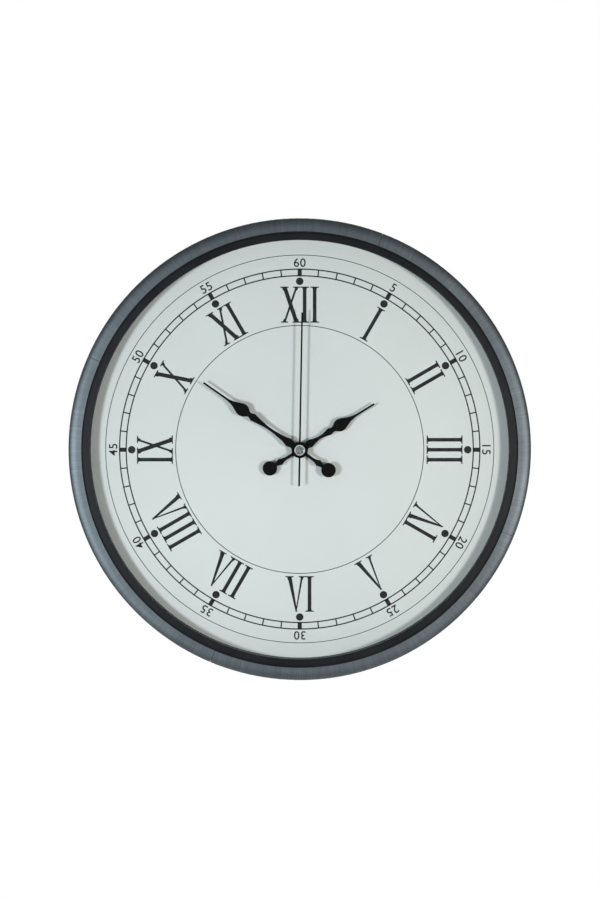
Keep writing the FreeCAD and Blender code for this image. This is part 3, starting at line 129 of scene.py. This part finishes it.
def surface(name, stops, roughness, scale, bump_scale, bump_height, metallic=0.0, specular=0.5,
            coat=0.0):
    """A material whose colour and roughness wander a little, with a fine relief."""
    nodes = Nodes(name)
    base = nodes.ramp(nodes.noise(scale), stops)
    rough = nodes.math("MULTIPLY_ADD", nodes.noise(scale * 2.3, 6.0), 0.16)
    rough.node.inputs[2].default_value = roughness - 0.08
    relief = nodes.bump(nodes.noise(bump_scale, 6.0), bump_height)
    shader = nodes.add("ShaderNodeBsdfPrincipled", Base_Color=base, Roughness=rough, Normal=relief)
    shader.inputs["Metallic"].default_value = metallic
    shader.inputs["Specular IOR Level"].default_value = specular
    shader.inputs["Coat Weight"].default_value = coat
    return nodes.finish(shader.outputs[0])


def polar(nodes):
    """Clock angle and radius of a point of the face, from the object's own place."""
    parts = nodes.add("ShaderNodeSeparateXYZ", Vector=nodes.place())
    angle = nodes.math("ARCTAN2", parts.outputs["X"], parts.outputs["Z"])
    square = nodes.math("ADD", nodes.math("MULTIPLY", parts.outputs["X"], parts.outputs["X"]),
                        nodes.math("MULTIPLY", parts.outputs["Z"], parts.outputs["Z"]))
    return angle, nodes.math("SQRT", square), parts.outputs["Y"]


# ------------------------------------------------------------ materials

def eased_normal(nodes, ease):
    """The surface's normal, turned towards the front where it already faces it."""
    normal = nodes.add("ShaderNodeNewGeometry").outputs["Normal"]
    front = nodes.add("ShaderNodeVectorMath", {"operation": "DOT_PRODUCT"})
    nodes.tree.links.new(normal, front.inputs[0])
    front.inputs[1].default_value = (0.0, -1.0, 0.0)
    share = nodes.math("MULTIPLY", nodes.math("MAXIMUM", front.outputs["Value"], 0.0), -ease)
    turn = nodes.add("ShaderNodeCombineXYZ", X=0.0, Y=share, Z=0.0)
    total = nodes.add("ShaderNodeVectorMath", {"operation": "ADD"})
    nodes.tree.links.new(normal, total.inputs[0])
    nodes.tree.links.new(turn.outputs[0], total.inputs[1])
    unit = nodes.add("ShaderNodeVectorMath", {"operation": "NORMALIZE"})
    nodes.tree.links.new(total.outputs[0], unit.inputs[0])
    return unit.outputs[0]


def rim_metal():
    """Grey-blue metal, brushed across the strip from its inner to its outer edge."""
    nodes = Nodes("rim_brushed")
    angle, radius, depth = polar(nodes)
    across = nodes.math("MULTIPLY", nodes.math("SUBTRACT", radius, depth), 16.0)
    grain = nodes.add("ShaderNodeCombineXYZ", X=nodes.math("MULTIPLY", angle, 420.0), Y=across,
                      Z=0.0)
    streaks = nodes.noise(1.0, 7.0, grain.outputs[0], 0.7)
    coarse = nodes.add("ShaderNodeCombineXYZ", X=nodes.math("MULTIPLY", angle, 46.0), Y=across,
                       Z=3.0)
    bands = nodes.noise(1.0, 3.0, coarse.outputs[0])
    blotch = nodes.noise(28.0, 4.0)
    mixed = nodes.math("ADD", nodes.math("MULTIPLY", streaks, 0.62),
                       nodes.math("ADD", nodes.math("MULTIPLY", bands, 0.13),
                                  nodes.math("MULTIPLY", blotch, 0.25)))
    color = nodes.ramp(mixed, [(0.30, (0.086, 0.102, 0.113)), (0.50, (0.127, 0.149, 0.163)),
                               (0.70, (0.205, 0.236, 0.257))])
    rough = nodes.math("MULTIPLY_ADD", streaks, 0.22)
    rough.node.inputs[2].default_value = 0.38
    relief = nodes.bump(streaks, 0.00011, 1.0, eased_normal(nodes, 1.3))
    shader = nodes.add("ShaderNodeBsdfPrincipled", Base_Color=color, Roughness=rough, Normal=relief)
    shader.inputs["Metallic"].default_value = 0.8
    return nodes.finish(shader.outputs[0])


def body_plastic(name, lift=1.0):
    """Black moulded plastic with a fine texture and a few pale specks of dust."""
    nodes = Nodes(name)
    fine = nodes.noise(2600.0, 3.0)
    soft = nodes.noise(45.0, 4.0)
    base = nodes.ramp(soft, [(0.3, (0.006 * lift, 0.007 * lift, 0.009 * lift)),
                             (0.7, (0.010 * lift, 0.012 * lift, 0.014 * lift))])
    specks = nodes.add("ShaderNodeTexVoronoi", Vector=nodes.place(), Scale=330.0)
    dust = nodes.math("LESS_THAN", specks.outputs["Distance"], 0.075)
    rare = nodes.math("GREATER_THAN", nodes.noise(160.0, 2.0), 0.63)
    mask = nodes.math("MULTIPLY", dust, rare)
    mix = nodes.add("ShaderNodeMix", {"data_type": "RGBA"})
    nodes.tree.links.new(mask, mix.inputs["Factor"])
    nodes.tree.links.new(base, mix.inputs["A"])
    mix.inputs["B"].default_value = (0.22, 0.22, 0.21, 1.0)
    rough = nodes.math("MULTIPLY_ADD", soft, 0.2)
    rough.node.inputs[2].default_value = 0.36
    relief = nodes.bump(fine, 0.00004, 0.7)
    shader = nodes.add("ShaderNodeBsdfPrincipled", Base_Color=mix.outputs["Result"],
                       Roughness=rough, Normal=relief)
    shader.inputs["Specular IOR Level"].default_value = 0.22
    return nodes.finish(shader.outputs[0])


def dial_paper():
    """Off-white printed card, a little uneven, with fine fibres."""
    nodes = Nodes("dial_card")
    wide = nodes.noise(7.0, 3.0)
    fibre = nodes.noise(900.0, 6.0)
    mixed = nodes.math("ADD", nodes.math("MULTIPLY", wide, 0.7), nodes.math("MULTIPLY", fibre, 0.3))
    color = nodes.ramp(mixed, [(0.3, (0.668, 0.703, 0.685)), (0.7, (0.730, 0.765, 0.748))])
    relief = nodes.bump(fibre, 0.00002, 0.5)
    rough = nodes.math("MULTIPLY_ADD", fibre, 0.1)
    rough.node.inputs[2].default_value = 0.62
    shader = nodes.add("ShaderNodeBsdfPrincipled", Base_Color=color, Roughness=rough, Normal=relief)
    shader.inputs["Specular IOR Level"].default_value = 0.25
    return nodes.finish(shader.outputs[0])


def print_ink():
    """Black printing ink, slightly uneven."""
    return surface("print_ink", [(0.35, (0.012, 0.013, 0.015)), (0.7, (0.028, 0.029, 0.032))],
                   0.62, 240.0, 1500.0, 0.00001, specular=0.2)


def lens_glass():
    """Clear float glass: it passes the light and mirrors a little at a slant."""
    nodes = Nodes("lens_clear")
    smudge = nodes.noise(14.0, 3.0)
    clear = nodes.add("ShaderNodeBsdfTransparent", Color=(0.985, 0.99, 0.988, 1.0))
    rough = nodes.math("MULTIPLY_ADD", smudge, 0.05)
    rough.node.inputs[2].default_value = 0.02
    gloss = nodes.add("ShaderNodeBsdfGlossy", Roughness=rough)
    gloss.inputs["Color"].default_value = (1.0, 1.0, 1.0, 1.0)
    edge = nodes.add("ShaderNodeFresnel", IOR=1.12)
    mix = nodes.add("ShaderNodeMixShader")
    nodes.tree.links.new(edge.outputs[0], mix.inputs[0])
    nodes.tree.links.new(clear.outputs[0], mix.inputs[1])
    nodes.tree.links.new(gloss.outputs[0], mix.inputs[2])
    return nodes.finish(mix.outputs[0])


def turned_metal(name, dark, light, rings=5200.0, roughness=0.25):
    """Lathe-turned metal: fine rings round the arbor."""
    nodes = Nodes(name)
    angle, radius, depth = polar(nodes)
    wave = nodes.math("SINE", nodes.math("MULTIPLY", radius, rings))
    flow = nodes.noise(420.0, 4.0)
    mixed = nodes.math("ADD", nodes.math("MULTIPLY", wave, 0.12), flow)
    color = nodes.ramp(mixed, [(0.3, dark), (0.7, light)])
    rough = nodes.math("MULTIPLY_ADD", flow, 0.15)
    rough.node.inputs[2].default_value = roughness
    relief = nodes.bump(wave, 0.00002, 0.6)
    shader = nodes.add("ShaderNodeBsdfPrincipled", Base_Color=color, Roughness=rough, Normal=relief)
    shader.inputs["Metallic"].default_value = 1.0
    return nodes.finish(shader.outputs[0])


def cap_metal():
    """The cap: a bright turned ring round a darker, pitted middle."""
    nodes = Nodes("cap_turned")
    angle, radius, depth = polar(nodes)
    pits = nodes.noise(900.0, 5.0, roughness=0.7)
    middle = nodes.ramp(pits, [(0.38, (0.045, 0.048, 0.050)), (0.62, (0.62, 0.64, 0.65))])
    ring = nodes.ramp(nodes.noise(500.0), [(0.3, (0.62, 0.63, 0.64)), (0.7, (0.88, 0.89, 0.90))])
    mix = nodes.add("ShaderNodeMix", {"data_type": "RGBA"})
    nodes.tree.links.new(nodes.math("GREATER_THAN", radius, CAP_RING), mix.inputs["Factor"])
    nodes.tree.links.new(middle, mix.inputs["A"])
    nodes.tree.links.new(ring, mix.inputs["B"])
    shader = nodes.add("ShaderNodeBsdfPrincipled", Base_Color=mix.outputs["Result"],
                       Normal=nodes.bump(pits, 0.0002))
    shader.inputs["Metallic"].default_value = 1.0
    shader.inputs["Roughness"].default_value = 0.34
    return nodes.finish(shader.outputs[0])


def hand_paint():
    """Satin black paint on stamped metal."""
    return surface("hand_paint", [(0.3, (0.0015, 0.0015, 0.0015)), (0.7, (0.004, 0.004, 0.004))],
                   0.55, 160.0, 1800.0, 0.000012, specular=0.08)


def winding_wire():
    """Copper wire laid in even turns along the bobbin."""
    nodes = Nodes("winding_wire")
    parts = nodes.add("ShaderNodeSeparateXYZ", Vector=nodes.place())
    turns = nodes.math("SINE", nodes.math("MULTIPLY", parts.outputs["X"], 30000.0))
    tone = nodes.math("ADD", nodes.math("MULTIPLY", turns, 0.15), nodes.noise(400.0))
    color = nodes.ramp(tone, [(0.3, (0.30, 0.10, 0.04)), (0.7, (0.62, 0.27, 0.12))])
    relief = nodes.bump(turns, 0.00004)
    shader = nodes.add("ShaderNodeBsdfPrincipled", Base_Color=color, Normal=relief)
    shader.inputs["Metallic"].default_value = 0.8
    shader.inputs["Roughness"].default_value = 0.35
    return nodes.finish(shader.outputs[0])


def battery_wrap():
    """The cell's printed sleeve: dark, with a lighter band round the plus end."""
    nodes = Nodes("battery_wrap")
    parts = nodes.add("ShaderNodeSeparateXYZ", Vector=nodes.place())
    along = nodes.math("MULTIPLY_ADD", parts.outputs["X"], 18.0)
    along.node.inputs[2].default_value = 0.5
    worn = nodes.math("ADD", along, nodes.math("MULTIPLY", nodes.noise(900.0), 0.004))
    color = nodes.ramp(worn, [(0.0, (0.030, 0.034, 0.040)), (0.66, (0.032, 0.036, 0.042)),
                              (0.665, (0.52, 0.30, 0.11)), (0.925, (0.56, 0.33, 0.12)),
                              (0.93, (0.62, 0.62, 0.60)), (1.0, (0.70, 0.70, 0.68))])
    shader = nodes.add("ShaderNodeBsdfPrincipled", Base_Color=color,
                       Normal=nodes.bump(nodes.noise(700.0), 0.00001))
    shader.inputs["Roughness"].default_value = 0.3
    shader.inputs["Metallic"].default_value = 0.25
    return nodes.finish(shader.outputs[0])


def make_materials():
    made = {
        "rim_metal": rim_metal(),
        "body_plastic": body_plastic("body_plastic"),
        "cover_plastic": body_plastic("cover_plastic", 1.3),
        "movement_plastic": body_plastic("movement_plastic", 0.8),
        "glass": lens_glass(),
        "dial": dial_paper(),
        "ink": print_ink(),
        "hand": hand_paint(),
        "cap": cap_metal(),
        "steel": surface("zinc_steel", [(0.3, (0.34, 0.35, 0.36)), (0.7, (0.56, 0.57, 0.58))],
                         0.36, 90.0, 900.0, 0.00002, metallic=1.0),
        "brass": turned_metal("turned_brass", (0.46, 0.30, 0.10), (0.74, 0.54, 0.24)),
        "rubber": surface("rubber", [(0.3, (0.014, 0.014, 0.014)), (0.7, (0.028, 0.028, 0.028))],
                          0.72, 120.0, 1400.0, 0.00003, specular=0.25),
        "battery": battery_wrap(),
        "nickel": surface("nickel", [(0.3, (0.48, 0.46, 0.43)), (0.7, (0.72, 0.70, 0.66))],
                          0.28, 120.0, 1200.0, 0.00001, metallic=1.0),
        "board": surface("board_lacquer", [(0.4, (0.012, 0.070, 0.030)), (0.6, (0.030, 0.140, 0.062))],
                         0.38, 260.0, 900.0, 0.00002, coat=0.4),
        "chip": surface("chip_resin", [(0.3, (0.008, 0.008, 0.008)), (0.7, (0.018, 0.018, 0.018))],
                        0.25, 200.0, 500.0, 0.00003, coat=0.3),
        "lamination": surface("lamination", [(0.3, (0.20, 0.20, 0.21)), (0.7, (0.38, 0.38, 0.40))],
                              0.42, 300.0, 2000.0, 0.00002, metallic=1.0),
        "wheel": surface("wheel_plastic", [(0.3, (0.60, 0.59, 0.53)), (0.7, (0.72, 0.71, 0.66))],
                         0.48, 200.0, 1500.0, 0.00001),
        "wire": winding_wire(),
        "label": surface("label_paper", [(0.3, (0.62, 0.62, 0.60)), (0.7, (0.72, 0.72, 0.70))],
                         0.6, 300.0, 1200.0, 0.00001, specular=0.3),
    }
    return made


NODE_MATERIALS = {
    "rim_metal": ["rim_strip_1", "rim_strip_2", "rim_strip_3", "rim_strip_4"],
    "body_plastic": ["frame_ring", "spacer_ring"],
    "cover_plastic": ["back_cover"],
    "movement_plastic": ["movement_front_shell", "movement_back_shell", "middle_plate",
                         "hour_sleeve", "setting_knob"],
    "glass": ["lens"],
    "dial": ["dial_plate"],
    "hand": ["hour_hand", "minute_hand", "second_hand", "mounting_nut", "dial_washer"],
    "cap": ["second_hand_cap"],
    "steel": ["cover_screws", "hanger_screws", "hanger_plate"],
    "brass": ["threaded_bushing", "minute_arbor"],
    "rubber": ["dial_gasket"],
    "battery": ["battery"],
    "nickel": ["plus_contact", "minus_contact", "quartz_crystal"],
    "board": ["circuit_board"],
    "chip": ["control_chip"],
    "lamination": ["stator", "coil_core", "rotor", "minute_wheel_pin", "knob_pin", "seconds_wheel"],
    "wheel": ["intermediate_wheel", "third_wheel", "centre_wheel", "minute_wheel", "hour_wheel",
              "coil_bobbin"],
    "wire": ["coil_winding"],
}


def dress_nodes(materials):
    """Gives each CAD node its material."""
    for name, nodes in NODE_MATERIALS.items():
        for node in nodes:
            mesh_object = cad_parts[node]
            mesh_object.data.materials.clear()
            mesh_object.data.materials.append(materials[name])


# ------------------------------------------------------------ dial print

INK_LIFT = 0.03 * MM


def flat_point(x, z, lift=INK_LIFT):
    return (x * MM, DIAL_FACE - lift, z * MM)


def new_piece(name, bm, material, body=ROOT):
    mesh = bpy.data.meshes.new(name)
    bm.normal_update()
    bm.to_mesh(mesh)
    bm.free()
    piece = bpy.data.objects.new(name, mesh)
    bpy.context.scene.collection.objects.link(piece)
    mesh.materials.append(material)
    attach(piece, body)
    return piece


def add_face(bm, points, lift=INK_LIFT):
    """A flat printed area facing the front, from points going round it either way."""
    vertices = [bm.verts.new(flat_point(x, z, lift)) for x, z in points]
    face = bm.faces.new(vertices)
    face.normal_update()
    if face.normal.y > 0:
        face.normal_flip()


def polar_point(radius, angle):
    """A point at a clock angle in degrees."""
    turn = math.radians(angle)
    return radius * math.sin(turn), radius * math.cos(turn)


def add_ring(bm, inner, outer, steps=240):
    for index in range(steps):
        here = 360.0 * index / steps
        there = 360.0 * (index + 1) / steps
        corners = [polar_point(inner, here), polar_point(outer, here),
                   polar_point(outer, there), polar_point(inner, there)]
        add_face(bm, corners)


def add_bar(bm, angle, inner, outer, width):
    side = width / 2.0
    turn = math.radians(angle)
    across = Vector((math.cos(turn), -math.sin(turn)))
    corners = []
    for radius, sign in ((inner, -1), (outer, -1), (outer, 1), (inner, 1)):
        x, z = polar_point(radius, angle)
        corners.append((x + sign * side * across.x, z + sign * side * across.y))
    add_face(bm, corners)


def add_dot(bm, angle, place, radius, steps=32):
    x, z = polar_point(place, angle)
    ring = [polar_point(radius, 360.0 * index / steps) for index in range(steps)]
    add_face(bm, [(x + dx, z + dz) for dx, dz in ring])


def print_tracks(ink):
    bm = bmesh.new()
    for radius, width in ((OUTER_CIRCLE, 0.5), (TRACK_OUTER, 0.95), (TRACK_INNER, 0.95),
                          (INNER_CIRCLE, 0.55)):
        add_ring(bm, radius - width / 2.0, radius + width / 2.0)
    for minute in range(60):
        width = 3.2 if minute % 5 == 0 else 0.95
        add_bar(bm, minute * 6.0, TRACK_INNER, TRACK_OUTER, width)
    new_piece("print_minute_track", bm, ink)
    bm = bmesh.new()
    for hour in range(12):
        add_dot(bm, hour * 30.0, DOT_PLACE, DOT_RADIUS)
    new_piece("print_hour_dots", bm, ink)


# A roman letter is drawn from strokes between the top and the foot of the numeral.
NUMERAL_HEIGHT = NUMERAL_OUTER - NUMERAL_INNER
SERIF_THICKNESS = 0.9
BRACKET = 2.0
THICK = {"I": 2.75, "V": 3.2, "X": 3.2}
THIN = 1.6


def serif(x, level, inward, half, stem_half, slant=0.0):
    """A bracketed serif at the end of a stroke; inward is the direction of the stroke."""
    points = [(x - half, level), (x + half, level), (x + half, level + inward * SERIF_THICKNESS)]
    steps = 5
    for index in range(steps + 1):
        share = index / steps
        curve = (1.0 - share) ** 2
        y = level + inward * (SERIF_THICKNESS + BRACKET * share)
        points.append((x + slant * share + stem_half + (half * 0.55 - stem_half) * curve, y))
    for index in range(steps, -1, -1):
        share = index / steps
        curve = (1.0 - share) ** 2
        y = level + inward * (SERIF_THICKNESS + BRACKET * share)
        points.append((x + slant * share - stem_half - (half * 0.55 - stem_half) * curve, y))
    points.append((x - half, level + inward * SERIF_THICKNESS))
    return points


def letter_strokes(letter, x):
    """Polygons of one letter about the middle x, over the numeral's height."""
    half = NUMERAL_HEIGHT / 2.0
    thick = THICK[letter] / 2.0
    thin = THIN / 2.0
    if letter == "I":
        stem = [(x - thick, -half), (x + thick, -half), (x + thick, half), (x - thick, half)]
        return [stem, serif(x, half, -1, 3.25, thick), serif(x, -half, 1, 3.25, thick)]
    if letter == "V":
        left, right, foot = x - 4.7, x + 4.9, x + 0.35
        heavy = [(left - thick, half), (left + thick, half), (foot + 0.9, -half), (foot - 0.35, -half)]
        light = [(right - thin, half), (right + thin, half), (foot + 0.35, -half), (foot - 0.45, -half)]
        return [heavy, light, serif(left, half, -1, 3.1, thick, 0.25),
                serif(right, half, -1, 2.6, thin, -0.25)]
    left, right = x - 4.6, x + 4.6
    heavy = [(left - thick, half), (left + thick, half), (right + thick, -half), (right - thick, -half)]
    light = [(right - thin, half), (right + thin, half), (left + thin, -half), (left - thin, -half)]
    return [heavy, light, serif(left, half, -1, 3.1, thick, 0.35),
            serif(right, half, -1, 2.6, thin, -0.35), serif(left, -half, 1, 2.6, thin, 0.35),
            serif(right, -half, 1, 3.1, thick, -0.35)]


ADVANCE = {("I", "I"): 7.6, ("V", "I"): 10.6, ("I", "V"): 10.4, ("X", "I"): 10.7, ("I", "X"): 10.7}
NUMERALS = ["XII", "I", "II", "III", "IV", "V", "VI", "VII", "VIII", "IX", "X", "XI"]


def print_numeral(text, hour, ink):
    """One roman numeral, upright at the top of the dial and upside down at the foot."""
    places = [0.0]
    for pair in zip(text, text[1:]):
        places.append(places[-1] + ADVANCE[pair])
    width = {"I": 3.25, "V": 7.6, "X": 7.6}
    middle = (places[0] - width[text[0]] + places[-1] + width[text[-1]]) / 2.0
    inverted = 4 <= hour <= 8
    turn = math.radians(-hour * 30.0 + (180.0 if inverted else 0.0))
    x, z = polar_point((NUMERAL_OUTER + NUMERAL_INNER) / 2.0, hour * 30.0)
    bm = bmesh.new()
    layer = 0
    for letter, place in zip(text, places):
        for stroke in letter_strokes(letter, place - middle):
            turned = []
            for px, pz in stroke:
                turned.append((x + px * math.cos(turn) - pz * math.sin(turn),
                               z + px * math.sin(turn) + pz * math.cos(turn)))
            add_face(bm, turned, INK_LIFT + layer * 0.002 * MM)
            layer += 1
    new_piece(f"print_numeral_{text}", bm, ink)


def print_digits(ink):
    """The minutes in small figures, all with their heads outwards."""
    for hour in range(12):
        minutes = 60 if hour == 0 else hour * 5
        curve = bpy.data.curves.new(f"figures_{minutes}", "FONT")
        curve.body = str(minutes)
        curve.size = DIGIT_HEIGHT * MM * 1.60
        curve.align_x = "CENTER"
        curve.align_y = "CENTER"
        curve.offset = 0.0001
        curve.space_character = 1.08
        holder = bpy.data.objects.new("figures", curve)
        bpy.context.scene.collection.objects.link(holder)
        graph = bpy.context.evaluated_depsgraph_get()
        mesh = bpy.data.meshes.new_from_object(holder.evaluated_get(graph))
        bpy.data.objects.remove(holder)
        corners = [vertex.co for vertex in mesh.vertices]
        middle = Vector(((min(c.x for c in corners) + max(c.x for c in corners)) / 2.0,
                         (min(c.y for c in corners) + max(c.y for c in corners)) / 2.0, 0.0))
        x, z = polar_point(DIGIT_PLACE, hour * 30.0)
        place = Matrix.Translation(Vector(flat_point(x, z)))
        upright = Matrix.Rotation(math.radians(90.0), 4, "X")
        turn = Matrix.Rotation(math.radians(hour * 30.0), 4, "Y")
        mesh.transform(place @ turn @ upright @ Matrix.Translation(-middle))
        piece = bpy.data.objects.new(f"print_figures_{minutes}", mesh)
        bpy.context.scene.collection.objects.link(piece)
        mesh.materials.clear()
        mesh.materials.append(ink)
        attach(piece, ROOT)


# ------------------------------------------------------------ details of the back

# Raised ribs and rings on the rear of the back cover, in millimetres.
RIB_HEIGHT = 0.9
RIB_WIDTH = 1.6
RIB_COUNT = 12
INNER_RING = 62.0
OUTER_RING = 112.0
RING_STEPS = 180
PLATE_ROOM = 40.0
LABEL_WIDE = 24.0
LABEL_TALL = 13.0
LABEL_THICK = 0.04
LABEL_X = 10.0
LABEL_Z = 17.0


def add_block(bm, middle, size, turn=0.0):
    """A box about its middle, turned about the arbor by a clock angle in degrees."""
    made = bmesh.ops.create_cube(bm, size=1.0)
    place = Matrix.Rotation(math.radians(turn), 4, "Y") @ Matrix.Translation(middle)
    bmesh.ops.transform(bm, matrix=place @ Matrix.Diagonal((*size, 1.0)), verts=made["verts"])


def cover_ribs(material):
    bm = bmesh.new()
    length = (OUTER_RING - INNER_RING - RIB_WIDTH) * MM
    middle = (0.0, COVER_REAR + RIB_HEIGHT * MM / 2.0, (OUTER_RING + INNER_RING) * MM / 2.0)
    for index in range(RIB_COUNT):
        turn = 360.0 * (index + 0.5) / RIB_COUNT
        add_block(bm, middle, (RIB_WIDTH * MM, RIB_HEIGHT * MM, length), turn)
    new_piece("cover_ribs", bm, material)


def cover_ring(name, radius, gap, material):
    """A raised ring, left open above the movement over a width on either side of it."""
    bm = bmesh.new()
    rows = []
    kept = []
    for index in range(RING_STEPS):
        angle = 360.0 * (index + 0.5) / RING_STEPS
        row = []
        for reach, height in ((-0.5, 0.0), (-0.5, 1.0), (0.5, 1.0), (0.5, 0.0)):
            x, z = polar_point((radius + reach * RIB_WIDTH) * MM, angle)
            row.append(bm.verts.new((x, COVER_REAR + height * RIB_HEIGHT * MM, z)))
        rows.append(row)
        middle_x, middle_z = polar_point(radius, angle + 180.0 / RING_STEPS)
        kept.append(middle_z < 0.0 or abs(middle_x) > gap)
    for index, here in enumerate(rows):
        following = (index + 1) % RING_STEPS
        there = rows[following]
        if not kept[index]:
            continue
        for side in range(4):
            other = (side + 1) % 4
            bm.faces.new([here[side], here[other], there[other], there[side]])
        if not kept[index - 1]:
            bm.faces.new(here)
        if not kept[following]:
            bm.faces.new(there)
    loose = [vertex for vertex in bm.verts if not vertex.link_faces]
    bmesh.ops.delete(bm, geom=loose, context="VERTS")
    bmesh.ops.recalc_face_normals(bm, faces=bm.faces)
    new_piece(name, bm, material)


def movement_label(material):
    """A plain pale sticker on the rear of the movement, beside the setting knob."""
    bm = bmesh.new()
    middle = (LABEL_X * MM, SHELL_REAR + LABEL_THICK * MM / 2.0, LABEL_Z * MM)
    add_block(bm, middle, (LABEL_WIDE * MM, LABEL_THICK * MM, LABEL_TALL * MM))
    new_piece("movement_label", bm, material)


# ------------------------------------------------------------ stage, lights, camera

def make_stage():
    bm = bmesh.new()
    bmesh.ops.create_circle(bm, cap_ends=True, segments=96, radius=1.5)
    mesh = bpy.data.meshes.new("floor")
    bm.to_mesh(mesh)
    bm.free()
    floor = bpy.data.objects.new("floor", mesh)
    floor.location.z = -1.0
    bpy.context.scene.collection.objects.link(floor)
    mesh.materials.append(surface("floor_pale", [(0.3, (0.80, 0.80, 0.80)), (0.7, (0.84, 0.84, 0.84))],
                                  0.8, 3.0, 60.0, 0.0002, specular=0.2))


def area_light(name, place, aim, size, power, color):
    data = bpy.data.lights.new(name, "AREA")
    data.shape = "DISK"
    data.size = size
    data.energy = power
    data.color = color
    light = bpy.data.objects.new(name, data)
    light.location = place
    light.rotation_euler = (Vector(aim) - Vector(place)).to_track_quat("-Z", "Y").to_euler()
    bpy.context.scene.collection.objects.link(light)


WORLD_FILL = 0.17


def light_scene():
    world = bpy.data.worlds.new("studio")
    world.use_nodes = True
    tree = world.node_tree
    background = tree.nodes["Background"]
    background.inputs["Color"].default_value = (0.93, 0.97, 1.0, 1.0)
    background.inputs["Strength"].default_value = WORLD_FILL
    backdrop = tree.nodes.new("ShaderNodeBackground")
    backdrop.inputs["Color"].default_value = (1.0, 1.0, 1.0, 1.0)
    seen = tree.nodes.new("ShaderNodeLightPath")
    mix = tree.nodes.new("ShaderNodeMixShader")
    tree.links.new(seen.outputs["Is Camera Ray"], mix.inputs[0])
    tree.links.new(background.outputs[0], mix.inputs[1])
    tree.links.new(backdrop.outputs[0], mix.inputs[2])
    tree.links.new(mix.outputs[0], tree.nodes["World Output"].inputs["Surface"])
    bpy.context.scene.world = world
    bpy.context.scene.view_settings.view_transform = "Standard"
    centre = (0.0, RIM_FRONT, 0.0)
    area_light("left_window", (-0.47, -0.66, -0.085), centre, 0.13, 3.35, (0.88, 0.95, 1.0))
    area_light("right_lamp", (0.47, -0.66, -0.065), centre, 0.13, 2.85, (1.0, 0.96, 0.93))
    area_light("back_left", (-1.2, 2.2, 1.0), (0.0, 0.0, 0.0), 1.2, 18.0, (1.0, 1.0, 1.0))
    area_light("rear_top", (0.0, 1.7, 1.9), (0.0, 0.5, -1.0), 1.6, 60.0, (1.0, 1.0, 1.0))
    area_light("back_right", (1.4, 2.0, 0.2), (0.0, 0.0, 0.0), 1.2, 9.0, (1.0, 1.0, 1.0))


CAMERA_DISTANCE = 1.6
FRAME_WIDTH = 0.4517
CAMERA_RISE = 0.07


def make_camera():
    data = bpy.data.cameras.new("camera")
    data.sensor_fit = "HORIZONTAL"
    data.sensor_width = 36.0
    data.lens = 36.0 * CAMERA_DISTANCE / FRAME_WIDTH
    camera = bpy.data.objects.new("camera", data)
    camera.location = (0.0002, RIM_FRONT - CAMERA_DISTANCE, CAMERA_RISE + 0.0004)
    tilt = math.atan2(CAMERA_RISE, CAMERA_DISTANCE)
    camera.rotation_euler = (math.radians(90.0) - tilt, 0.0, 0.0)
    bpy.context.scene.collection.objects.link(camera)
    bpy.context.scene.camera = camera


make_camera()
light_scene()
make_stage()
materials = make_materials()
dress_nodes(materials)
print_tracks(materials["ink"])
for hour, text in enumerate(NUMERALS):
    print_numeral(text, hour, materials["ink"])
print_digits(materials["ink"])
cover_ribs(materials["cover_plastic"])
cover_ring("cover_ring_inner", INNER_RING, 0.0, materials["cover_plastic"])
cover_ring("cover_ring_outer", OUTER_RING, PLATE_ROOM, materials["cover_plastic"])
movement_label(materials["label"])
